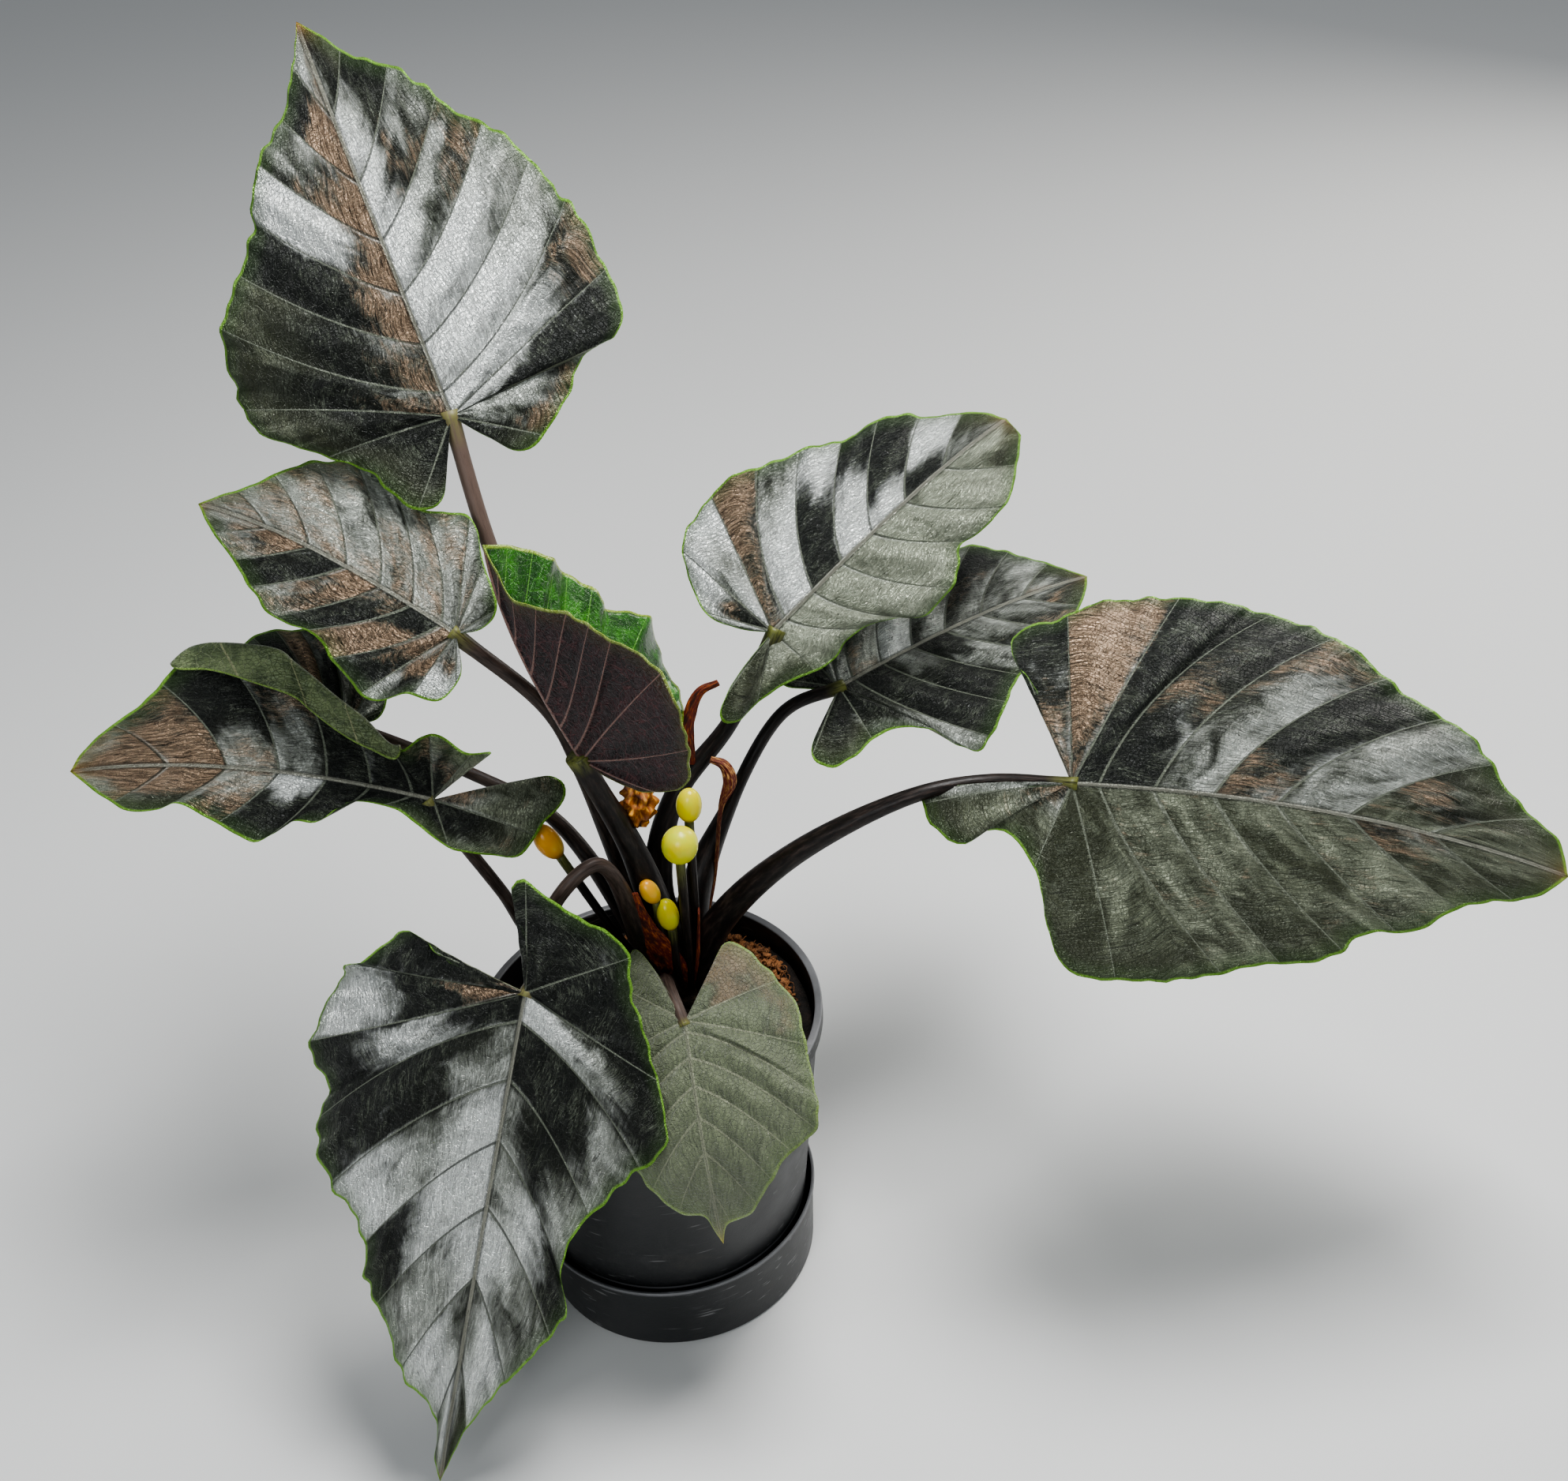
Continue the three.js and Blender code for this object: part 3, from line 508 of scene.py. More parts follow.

# Each leaf has the width that its curl is spread over, the strength of its puckers and of its
# coloured tip, the way that its face looks at the stalk and at the tip, and the Bezier points of its
# midrib. Each half has its fold and curl in degrees at the stalk and at the tip, the turn of its lobe,
# the height, number and phase of its margin's waves, its looks, and its outline from the tip round to
# the stalk, as lengths along the midrib and out from it.
# The silver in the looks is partly painted sheen, where a half or a space faces the light.
LEAVES = [
    dict(
        width=85, pucker=1.4, tip=1.0, face=[(0.15, -0.6, 0.75), (0, -0.45, 0.85)],
        rib=[(-57, 92, 442), (-77, 133, 495), (-98, 175, 545), (-118, 232, 578)],
        left=dict(
            fold=(-5, -5), curl=(-30, -15), lobe=-15, wave=(2.5, 5, 0),
            look=("bcccckkddd", "bcksdddddd", "sdmsdggggg"),
            outline=[
                (206, 0), (186, 7), (163, 20), (144, 37), (114, 54), (76, 82), (56, 89), (31, 87),
                (12, 68), (-9, 45), (-33, 30), (-33, 16), (-12, 7), (0, 0),
            ],
        ),
        right=dict(
            fold=(5, 5), curl=(-12, -12), lobe=-15, wave=(3, 6, 1),
            look=("msssssssmd", "dmkmsssdmd", "gdmkmmkdkg"),
            outline=[
                (206, 0), (182, 16), (160, 36), (127, 59), (94, 80), (57, 89), (29, 92), (12, 84),
                (7, 66), (-9, 51), (-25, 27), (-14, 12), (0, 0),
            ],
        ),
    ),
    dict(
        width=50, pucker=0.6, tip=0.3, face=[(0, -0.6, 0.8), (0, -0.55, 0.85)],
        rib=[(-62, 32, 367), (-100, 50, 390), (-137, 69, 409), (-175, 87, 412)],
        left=dict(
            fold=(-5, -5), curl=(-20, -10), lobe=-10, wave=(2, 5, 0),
            look=("bcdckdcbms", "bkdkdckckm", "mbdbdcdmss"),
            outline=[
                (134, 0), (120, 11), (105, 19), (89, 28), (72, 35), (50, 33), (38, 39), (16, 45),
                (3, 34), (-10, 29), (-12, 14), (0, 0),
            ],
        ),
        right=dict(
            fold=(5, 5), curl=(-15, -10), lobe=-10, wave=(2, 5, 2),
            look=("bbbbbbmbbm", "bbbmbbbbmm", "bbbbmbbmmm"),
            outline=[
                (134, 0), (115, 15), (99, 31), (84, 44), (60, 44), (43, 40), (34, 46), (22, 48),
                (8, 34), (-8, 20), (-8, 8), (0, 0),
            ],
        ),
    ),
    dict(
        width=72, pucker=0.5, tip=0.6, face=[(0, -0.45, 0.9), (0, -0.4, 0.9)],
        rib=[(-85, 20, 287), (-141, 27, 305), (-196, 35, 312), (-252, 42, 304)],
        left=dict(
            fold=(-20, -10), curl=(-10, -10), lobe=-10, wave=(1.5, 6, 0),
            look=("ccbsddddko", "ccbdddddoo", "bgkdddooob"),
            outline=[
                (170, 0), (154, 13), (140, 21), (125, 21), (115, 18), (100, 24), (78, 33), (68, 29),
                (60, 22), (48, 20), (36, 9), (16, 8), (4, 13), (-14, 20), (-32, 18), (-46, 14),
                (-52, -4), (-58, -18), (-48, -25), (-30, -13), (-12, -3), (0, 0),
            ],
        ),
        right=dict(
            fold=(10, 15), curl=(30, 20), lobe=-10, wave=(1.5, 6, 1),
            look=("ccbmddddko", "ccdkdddkoo", "bkdkddkoob"),
            outline=[
                (170, 0), (162, 11), (148, 22), (134, 31), (126, 40), (117, 51), (109, 55), (96, 56),
                (77, 55), (68, 49), (50, 37), (36, 29), (21, 19), (12, 27), (5, 30), (-9, 25),
                (-20, 28), (-12, 18), (0, 0),
            ],
        ),
    ),
    dict(
        width=45, pucker=0.4, tip=0.3, face=[(0, -0.4, 0.9), (0, -0.4, 0.9)],
        rib=[(-130, 76, 294), (-153, 85, 306), (-177, 93, 312), (-203, 104, 306)],
        left=dict(
            fold=(0, 0), curl=(-20, -10), lobe=-10, wave=(1.5, 4, 0),
            look=("ckmkdkmkmd", "ckdkdkmdmd", "mkmkdcmkmd"),
            outline=[
                (81, 0), (70, 9), (56, 24), (36, 37), (14, 40), (0, 32), (-8, 24), (-11, 12), (0, 0),
            ],
        ),
        right=dict(
            fold=(10, 5), curl=(-20, -10), lobe=-10, wave=(1.5, 4, 2),
            look=("ckmkcdmkmd", "ckmdcdmkmd", "ckmdckmkmd"),
            outline=[
                (81, 0), (72, 14), (62, 29), (48, 37), (32, 39), (12, 36), (-2, 28), (-9, 20), (-10, 9),
                (0, 0),
            ],
        ),
    ),
    dict(
        width=60, pucker=0.5, tip=0.2, face=[(0.9, 0.05, 0.3), (0.9, 0.1, 0.3)],
        rib=[(-12, 2, 315), (-28, 12, 347), (-41, 22, 378), (-43, 32, 410)],
        left=dict(
            fold=(50, 50), curl=(10, 10), lobe=10, wave=(2, 4, 0),
            look=("dddddddddd", "dddddddddd", "dddddddddd"),
            outline=[
                (105, 0), (92, 4), (80, 9), (74, 24), (63, 44), (47, 60), (24, 71), (6, 71), (-16, 60),
                (-29, 46), (-24, 26), (-10, 8), (0, 0),
            ],
        ),
        right=dict(
            fold=(45, 45), curl=(-20, -10), lobe=10, wave=(3, 5, 2),
            look=("dddddddddd", "dddddddddd", "dddddddddd"),
            outline=[
                (105, 0), (98, 20), (82, 38), (64, 50), (50, 55), (38, 71), (24, 82), (6, 80),
                (-14, 68), (-26, 46), (-18, 20), (0, 0),
            ],
        ),
    ),
    dict(
        width=70, pucker=0.5, tip=0.3, face=[(0, -0.35, 0.93), (-0.1, -0.45, 0.85)],
        rib=[(76, 72, 329), (118, 109, 348), (159, 145, 367), (201, 182, 373)],
        left=dict(
            fold=(10, 5), curl=(0, 0), lobe=-10, wave=(2.5, 6, 0),
            look=("mdssdsksdm", "msdsdskmks", "gsddsmcssm"),
            outline=[
                (173, 0), (163, 13), (140, 31), (118, 44), (100, 47), (78, 59), (54, 69), (24, 70),
                (4, 61), (-6, 46), (-14, 28), (-8, 11), (0, 0),
            ],
        ),
        right=dict(
            fold=(-45, -22), curl=(-15, -10), lobe=-10, wave=(2, 6, 1),
            look=("pppppppppg", "ppppppppgg", "gppppppggg"),
            outline=[
                (173, 0), (174, 9), (164, 20), (144, 32), (119, 36), (105, 35), (90, 45), (68, 49),
                (52, 38), (34, 30), (14, 32), (-8, 24), (-24, 20), (-44, 17), (-46, 7), (-24, 2),
                (0, 0),
            ],
        ),
    ),
    dict(
        width=60, pucker=0.5, tip=0.3, face=[(0, -0.4, 0.9), (0, -0.4, 0.9)],
        rib=[(106, 92, 281), (152, 122, 286), (198, 152, 287), (244, 182, 277)],
        left=dict(
            fold=(0, 0), curl=(-10, -10), lobe=-10, wave=(2, 5, 0),
            look=("bmmmsbmmdd", "mmkmmmmddd", "gmdmmmdddd"),
            outline=[
                (166, 0), (151, 14), (135, 34), (113, 44), (86, 55), (56, 61), (26, 58), (2, 46),
                (-16, 34), (-22, 18), (-10, 6), (0, 0),
            ],
        ),
        right=dict(
            fold=(-10, -5), curl=(-15, -15), lobe=-10, wave=(2, 5, 2),
            look=("mmmdmddddd", "kmmmddmddd", "gkkmddmmgd"),
            outline=[
                (166, 0), (156, 11), (136, 24), (114, 32), (92, 38), (75, 47), (50, 62), (38, 55),
                (28, 42), (14, 33), (0, 31), (-16, 34), (-30, 32), (-32, 20), (-14, 8), (0, 0),
            ],
        ),
    ),
    dict(
        width=85, pucker=0.8, tip=0.4, face=[(0, -0.55, 0.83), (0, -0.5, 0.85)],
        rib=[(203, -8, 287), (276, -18, 282), (349, -28, 268), (422, -38, 234)],
        left=dict(
            fold=(0, 0), curl=(-15, -10), lobe=-5, wave=(2, 6, 0),
            look=("oomkmddkkd", "okmdmkdckd", "ggmdkddcdd"),
            outline=[
                (228, 0), (222, 14), (205, 27), (186, 48), (157, 66), (132, 83), (101, 100), (65, 103),
                (38, 105), (14, 98), (-4, 87), (-26, 80), (-28, 64), (-14, 40), (-4, 14), (0, 0),
            ],
        ),
        right=dict(
            fold=(-5, -5), curl=(-20, -15), lobe=-20, wave=(2, 6, 1),
            look=("okooooggkm", "ooogooogom", "ggoogogggm"),
            outline=[
                (228, 0), (214, 15), (182, 29), (164, 44), (141, 51), (122, 66), (95, 72), (69, 80),
                (48, 85), (17, 86), (-1, 81), (-10, 62), (-15, 41), (-27, 24), (-38, 22), (-48, 28),
                (-58, 24), (-68, 11), (-66, 3), (-48, 0), (-20, 2), (0, 0),
            ],
        ),
    ),
    dict(
        width=80, pucker=1.7, tip=0.2, face=[(0, -0.85, 0.5), (-0.1, -0.9, 0.3)],
        rib=[(-47, -50, 228), (-69, -91, 161), (-90, -132, 95), (-112, -149, 17)],
        left=dict(
            fold=(8, 0), curl=(-10, -8), lobe=15, wave=(2.5, 6, 0),
            look=("smsmmdsddd", "msmsddmddd", "gsmdmmdddd"),
            outline=[
                (243, 0), (226, 4), (210, 9), (176, 26), (150, 42), (138, 43), (126, 39), (104, 41),
                (78, 59), (57, 74), (43, 72), (13, 59), (-13, 47), (-31, 40), (-40, 16), (-51, -6),
                (-47, -14), (-27, -4), (0, 0),
            ],
        ),
        right=dict(
            fold=(-8, -5), curl=(-20, -10), lobe=-5, wave=(3, 7, 1),
            look=("smsssmdckd", "ssmsmdsddd", "msmdsddsdd"),
            outline=[
                (243, 0), (232, 4), (210, 8), (185, 29), (155, 49), (133, 54), (110, 78), (83, 91),
                (64, 90), (54, 100), (27, 100), (10, 91), (4, 80), (-12, 68), (-14, 58), (-7, 40),
                (1, 24), (2, 10), (0, 0),
            ],
        ),
    ),
    dict(
        width=45, pucker=0.5, tip=1.0, face=[(0, -0.4, 0.9), (0, -0.95, 0.3)],
        rib=[(21, -42, 195), (24, -80, 186), (28, -112, 158), (30, -101, 110)],
        left=dict(
            fold=(5, 0), curl=(-15, -10), lobe=10, wave=(1.5, 5, 0),
            look=("mmmmmmmmmk", "mmmmmmmmck", "mmmmmmmkcd"),
            outline=[
                (117, 0), (104, 4), (100, 16), (84, 27), (74, 36), (66, 50), (50, 54), (32, 54),
                (14, 53), (-3, 52), (-22, 42), (-38, 25), (-22, 14), (0, 0),
            ],
        ),
        right=dict(
            fold=(-5, 0), curl=(-25, -10), lobe=10, wave=(1.5, 5, 2),
            look=("mmmmmmmmmm", "mmmmmmmmmm", "mmmmmmmmmd"),
            outline=[
                (117, 0), (106, 3), (98, 6), (95, 14), (84, 25), (72, 32), (56, 36), (36, 37), (14, 34),
                (-4, 31), (-22, 28), (-44, 21), (-30, 11), (0, 0),
            ],
        ),
    ),
]
# Silver, copper and green of a space between two veins. The silver is partly the leaf's own and partly
# painted sheen, higher on the halves and spaces that face the light, and p is painted sheen on green
TONES = dict(
    d=(0.1, 0, 0.05), s=(1.15, 0, 0), c=(0.3, 0.95, 0.1), m=(0.7, 0.1, 0.3), k=(0.4, 0.6, 0.2),
    g=(0.4, 0, 1), p=(0.95, 0, 0.8), o=(0.65, 0.35, 0.9), b=(0.85, 0.6, 0.4),
)
# Share of a space over which one tone passes into the next
TONE_BLEND = 0.12


def bezier(points, u):
    p = np.asarray(points, float)
    u = np.asarray(u)[..., None]
    v = 1 - u
    point = v**3 * p[0] + 3 * v**2 * u * p[1] + 3 * v * u**2 * p[2] + u**3 * p[3]
    slope = v**2 * (p[1] - p[0]) + 2 * v * u * (p[2] - p[1]) + u**2 * (p[3] - p[2])
    return point, unit(slope)


def blade_point(leaf, side, along, out, lift):
    """Points on the bent blade, from places on its flat plan and their lift off it."""
    half = leaf[side]
    u = np.clip(along / half["outline"][0][0], 0, 1)
    point, tangent = bezier(leaf["rib"], u)
    low, high = np.asarray(leaf["face"], float)
    normal = low + (high - low) * u[..., None]
    normal = unit(normal - tangent * np.sum(normal * tangent, -1, keepdims=True))
    across_way = np.cross(normal, tangent) * SIDES[side]
    fold, curl = (low + (high - low) * u for low, high in (half["fold"], half["curl"]))

    def tilt(w):
        return np.radians(fold + curl * w / leaf["width"])

    across, up = np.zeros_like(out), np.zeros_like(out)
    for k in range(BEND_STEPS):
        angle = tilt(out * (k + 0.5) / BEND_STEPS)
        across += np.cos(angle) * out / BEND_STEPS
        up += np.sin(angle) * out / BEND_STEPS
    lean = np.where(out == 0, 0, tilt(out))
    across -= lift * np.sin(lean)
    up += lift * np.cos(lean)
    behind = math.radians(half["lobe"]) * np.maximum(-along, 0) / LOBE_SPAN
    radius = LOBE_SPAN / math.radians(half["lobe"])
    back = -radius * np.sin(behind) + up * np.sin(behind)
    rise = radius * (1 - np.cos(behind)) + up * np.cos(behind)
    return point + tangent * back[..., None] + normal * rise[..., None] + across_way * across[..., None]


def spline(points, count=OUTLINE_POINTS, dense=3000):
    """Uniform Catmull-Rom curve through points, spaced evenly by length."""
    p = np.asarray(points, float)
    last = len(p) - 1
    where = np.linspace(0, last, dense)
    i = np.minimum(where.astype(int), last - 1)
    t = (where - i)[:, None]
    before, start, end = p[np.maximum(i - 1, 0)], p[i], p[i + 1]
    after = p[np.minimum(i + 2, last)]
    v0, v1 = (end - before) / 2, (after - start) / 2
    curve = (2 * start - 2 * end + v0 + v1) * t**3 + (-3 * start + 3 * end - 2 * v0 - v1) * t**2
    return even(curve + v0 * t + start, np.linspace(0, 1, count))


def tone_of(half, vein, share, seed):
    """Looks are given from the midrib out in three bands, each from the tip to the lobe. Their silver is
    partly painted sheen.
    """
    table = np.array([[TONES[letter] for letter in row] for row in half["look"]])
    middle = np.clip(vein - 0.5, 0, 9)
    cell = np.minimum(middle.astype(int), 8)
    x = np.clip((middle - cell - 0.5) / TONE_BLEND + 0.5, 0, 1)[..., None]
    band = np.clip(3 * share - 0.5 + 0.2 * np.sin(5 * vein + seed), 0, 2)
    low = np.minimum(band.astype(int), 1)
    y = (band - low)[..., None]
    first, second = (table[row, cell] * (1 - x) + table[row, cell + 1] * x for row in (low, low + 1))
    return first * (1 - y) + second * y


def margin_wave(half, gone):
    """Wave of the margin at a share of the rows, where one is the end of the lobe."""
    height, waves, phase = half["wave"]
    return height * np.sin(2 * math.pi * waves * gone + phase)


def half_blade(leaf, side, number):
    """Grids of one half: points of both faces and what its shaders read."""
    half = leaf[side]
    line = spline(half["outline"])
    shoulder = int(np.argmax(line[:, 0] < VEIN_SLANT * line[:, 1]))
    rib_rows = np.linspace(0, RIB_ROWS, FINE_RIB + 1)
    lobe_rows = np.linspace(0, LOBE_ROWS, FINE_LOBE + 1)[1:]
    rows = np.concatenate([rib_rows, RIB_ROWS + lobe_rows])
    front = even(line[: shoulder + 1], rib_rows / RIB_ROWS)
    outer = np.concatenate([front, even(line[shoulder:], lobe_rows / LOBE_ROWS)])
    length = half["outline"][0][0]
    inner_x = length * (1 - np.clip(rows / RIB_ROWS, 0, 1) ** BLADE["rib_ease"])
    inner = np.stack([inner_x, np.zeros_like(inner_x)], 1)
    share = np.linspace(0, 1, FINE_COLUMNS + 1) ** COLUMN_EASE
    reach = np.linalg.norm(outer - inner, axis=1)
    s, t = np.meshgrid(share, rows)
    wide = np.repeat(reach[:, None], len(share), 1)
    arch = 4 * s * (1 - s)
    at = inner[:, None] * (1 - s[..., None]) + outer[:, None] * s[..., None]
    at[..., 0] -= BLADE["bow"] * arch * wide * np.clip(RIB_ROWS - t, 0, 1)
    vein = t / 2
    by_vein = np.gradient(at, rows / 2, axis=0)
    by_share = (outer - inner) / np.maximum(reach, 1e-6)[:, None]
    pitch = np.abs(by_vein[..., 0] * by_share[:, None, 1] - by_vein[..., 1] * by_share[:, None, 0])
    to_vein = np.abs(vein - np.round(vein)) * pitch
    to_rib = np.where(t < RIB_ROWS, np.abs(at[..., 1]), s * wide)
    to_edge = (1 - s) * wide * 0.85

    # The margin waves as the solids do, whose last row of the midrib ends further back
    way = walked(line)
    corner = way[np.argmax(line[:, 0] < SOLID_SLANT * line[:, 1])]
    gone = np.interp(rows, [0, RIB_ROWS, ROWS], [0, way[shoulder], way[-1]])
    waved = np.interp(gone, [0, corner, way[-1]], [0, RIB_ROWS / ROWS, 1])[:, None]
    fade = np.minimum(wide / BLADE["full_width"], 1)
    between = np.abs(np.sin(math.pi * vein))
    lift = fade * (s**2 * margin_wave(half, waved) + BLADE["quilt"] * arch * between**1.3)

    # Puckers lie between the veins, and the margin is frilled and notched. All are sums of waves from
    # one to a few cm long, stronger in a leaf with more pucker.
    seed = number * 1.7 + (0.9 if side == "left" else 0.0)
    deep = s * wide
    arc = walked(outer)[:, None]
    swirl = 2.2 * np.sin(vein * 2.9 + seed) + 1.3 * np.sin(deep / 9 + 2 * vein + seed)
    pucker = np.sin(deep / 2.4 + swirl + 3 * between) + 0.6 * np.sin(deep / 1.5 - 2 * swirl)
    lift += leaf["pucker"] * 0.45 * fade * between * np.minimum(arch * 1.6, 1) * pucker
    frill = np.sin(arc / 3.1 + seed) + 0.7 * np.sin(arc / 1.7 + 2 * seed)
    lift += (0.35 + 0.4 * leaf["pucker"]) * fade * s**5 * frill
    notch = np.sin(arc / 2.3 + seed) + 0.7 * np.sin(arc / 4.9 + 3 * seed) - 0.8
    notch = notch * (0.6 + 0.4 * np.sin(arc / 13 + 5 * seed))
    ruffle = (0.3 + 0.4 * leaf["pucker"]) * fade * s**6 * notch
    at = at + by_share[:, None, :] * ruffle[..., None]

    # The midrib stands out on both faces, and the lateral veins lie in grooves above
    x, y = at[..., 0], at[..., 1]
    rib = np.exp(-((to_rib / RIB_WIDTH) ** 2)) * (1 - 0.7 * np.clip(x / length, 0, 1))
    lateral = np.exp(-((to_vein / LATERAL_WIDTH) ** 2)) * (1 - s) ** 0.6 * np.minimum(deep / 4, 1)
    body = HALF_THICK * (0.55 + 0.45 * np.clip(to_edge / 1.5, 0, 1))
    top = body + RIB_TOP * rib + LATERAL_TOP * lateral
    under = body + RIB_UNDER * rib + LATERAL_UNDER * lateral
    upper = blade_point(leaf, side, x, y, lift + top)
    lower = blade_point(leaf, side, x, y, lift - under)
    marks = dict(
        lay=np.stack([vein, s, wide / 10], -1),
        near=np.stack([to_rib, to_edge, pitch], -1) / 10,
        tone=tone_of(half, vein, s, seed),
        flat=np.stack([x / 10, SIDES[side] * y / 10, np.full_like(s, seed * 7)], -1),
        tip=leaf["tip"] * np.exp(-np.hypot(length - x, y) / 4.5),
    )
    return upper, lower, marks


def grid_faces(rows, columns, start, turned_over):
    """Quads of a grid of vertices."""
    i, k = np.meshgrid(np.arange(rows - 1), np.arange(columns - 1), indexing="ij")
    a = start + (i * columns + k).ravel()
    quads = np.stack([a, a + 1, a + 1 + columns, a + columns], 1)
    return quads[:, ::-1] if turned_over else quads


def blade(number, leaf):
    """Both halves as one closed mesh. Material 0 is the top face with the rim, and 1 the underside."""
    verts, faces, indices, marks = [], [], [], {}
    start = 0
    for side in SIDES:
        upper, lower, own = half_blade(leaf, side, number)
        rows, columns = upper.shape[:2]
        left = side == "left"
        count = rows * columns
        verts += [upper.reshape(-1, 3), lower.reshape(-1, 3)]
        for key, values in own.items():
            flat = values.reshape(count, -1)
            marks.setdefault(key, []).extend([flat, flat])
        faces.append(grid_faces(rows, columns, start, not left))
        faces.append(grid_faces(rows, columns, start + count, left))
        rim = start + np.arange(rows) * columns + columns - 1
        b, c = rim[:-1], rim[1:]
        strip = [c, b, b + count, c + count] if left else [b, c, c + count, b + count]
        faces.append(np.stack(strip, 1))
        squares = (rows - 1) * (columns - 1)
        indices += [0] * squares + [1] * squares + [0] * (rows - 1)
        start += 2 * count
    marks = {k: np.concatenate(v) for k, v in marks.items()}
    verts, faces, marks, indices = welded(np.concatenate(verts), np.concatenate(faces), marks, indices)
    marks["tip"] = marks["tip"].ravel()
    return verts, faces, marks, indices


# Skins of the young and the old leaf. The others are grown velvet leaves.
SKINS = {5: (YOUNG, YOUNG_UNDER, "leaf_young"), 10: (OLD, VELVET_UNDER, "leaf_old")}
for number, leaf in enumerate(LEAVES, 1):
    top, under, slot = SKINS.get(number, (VELVET, VELVET_UNDER, "leaf_velvet"))
    verts, faces, marks, indices = blade(number, leaf)
    piece(f"blade_{number}", verts, faces, [top, under], slot, f"leaf_{number}", marks, indices)

# The rolled margin: radius of the roll, and steps along it, round it and back over the face
ROLL_RADIUS, ROLL_ALONG, ROLL_ROUND, ROLL_BACK = 2.0, 110, 12, 18


def rolled_margin(leaf, side, first, last, width):
    """Strip of the margin between two veins, rolled over the top face so that its underside shows."""
    half = leaf[side]
    line = spline(half["outline"])
    shoulder = int(np.argmax(line[:, 0] < SOLID_SLANT * line[:, 1]))
    vein = np.linspace(first, last, ROLL_ALONG)
    rows = 2 * vein / RIB_ROWS
    outer = even(line[: shoulder + 1], rows)
    inner = np.stack([half["outline"][0][0] * (1 - rows ** BLADE["rib_ease"]), 0 * rows], 1)
    reach = np.linalg.norm(outer - inner, axis=1)[:, None]
    strip = width * np.sin(math.pi * np.linspace(0, 1, ROLL_ALONG)) ** 0.6 + 0.1
    turn = np.linspace(0, math.pi, ROLL_ROUND)
    back = np.linspace(0, 1, ROLL_BACK)[1:]
    bulge = np.tile(ROLL_RADIUS * np.sin(turn) - 0.3, (ROLL_ALONG, 1))
    past = np.concatenate([bulge, -strip[:, None] * back], 1)
    rise = np.concatenate([ROLL_RADIUS * (1 - np.cos(turn)), 2 * ROLL_RADIUS - 0.8 * np.sin(2.2 * back)])
    at = outer[:, None] + unit(outer - inner)[:, None] * past[..., None]
    wave = margin_wave(half, 2 * vein / ROWS)[:, None]
    lift = np.minimum(reach / BLADE["full_width"], 1) * wave + rise
    lift = lift + 0.35 * np.sin(7.3 * vein)[:, None] * np.concatenate([0 * turn, back])
    middle = blade_point(leaf, side, at[..., 0], at[..., 1], lift)
    normal = unit(np.cross(np.gradient(middle, axis=0), np.gradient(middle, axis=1)))
    verts = np.concatenate([(middle + k * HALF_THICK * normal).reshape(-1, 3) for k in (1, -1)])
    columns = middle.shape[1]
    count, end = ROLL_ALONG * columns, ROLL_ALONG - 1
    faces = [*grid_faces(ROLL_ALONG, columns, 0, True), *grid_faces(ROLL_ALONG, columns, count, False)]
    ring = list(range(columns)) + [columns * r + columns - 1 for r in range(1, ROLL_ALONG)]
    ring += [columns * end + k for k in range(columns - 2, -1, -1)]
    ring += [columns * r for r in range(end - 1, 0, -1)]
    faces += [[a, b, b + count, a + count] for a, b in zip(ring, ring[1:] + ring[:1])]
    none = np.zeros_like(past)
    marks = dict(
        lay=(vein[:, None] + none, 1 + past / reach, reach / 10 + none),
        near=(reach / 10 + none, (strip[:, None] + past) / 10, none + 1.5),
        flat=(at[..., 0] / 10, at[..., 1] / 10, none + 4.0),
        tone=(none, none, none),
    )
    marks = {k: np.tile(np.stack(v, -1).reshape(-1, 3), (2, 1)) for k, v in marks.items()}
    marks["tip"] = np.zeros(2 * count)
    return verts, faces, marks


# Between these veins, and as wide as this where it is widest
ROLL_VEINS, ROLL_WIDTH = (2.2, 6.0), 22
verts, faces, marks = rolled_margin(LEAVES[2], "right", *ROLL_VEINS, ROLL_WIDTH)
piece("blade_3_rolled_margin", verts, faces, [VELVET_UNDER], "leaf_velvet", None, marks)


# Stems. A grid is the number of sides and of steps along the length.
PETIOLE_GRID, STALK_GRID, OVAL_GRID = (36, 80), (14, 36), (28, 36)
SCALE_GRID, CROWN_GRID = (72, 90), (48, 60)
# Share of the length over which a stem takes the colour of its joint
PETIOLE_JOINT, STALK_JOINT = 0.06, 0.2


def blend(t, low, high, a, b):
    """From a at low to b at high."""
    return ((high - t) * a + (t - low) * b) / (high - low)


def curve_through(points, count):
    """Centripetal Catmull-Rom curve through points, spaced evenly by length."""
    p = np.asarray(points, float)
    p = np.concatenate([[2 * p[0] - p[1]], p, [2 * p[-1] - p[-2]]])
    dense = []
    for i in range(len(p) - 3):
        q = p[i : i + 4]
        knots = np.cumsum([0] + [np.linalg.norm(q[k + 1] - q[k]) ** 0.5 for k in range(3)])
        t = np.linspace(knots[1], knots[2], 60)[:, None]
        a = [blend(t, knots[k], knots[k + 1], q[k], q[k + 1]) for k in range(3)]
        b = [blend(t, knots[k], knots[k + 2], a[k], a[k + 1]) for k in range(2)]
        dense.append(blend(t, knots[1], knots[2], b[0], b[1]))
    return even(np.concatenate(dense), np.linspace(0, 1, count))


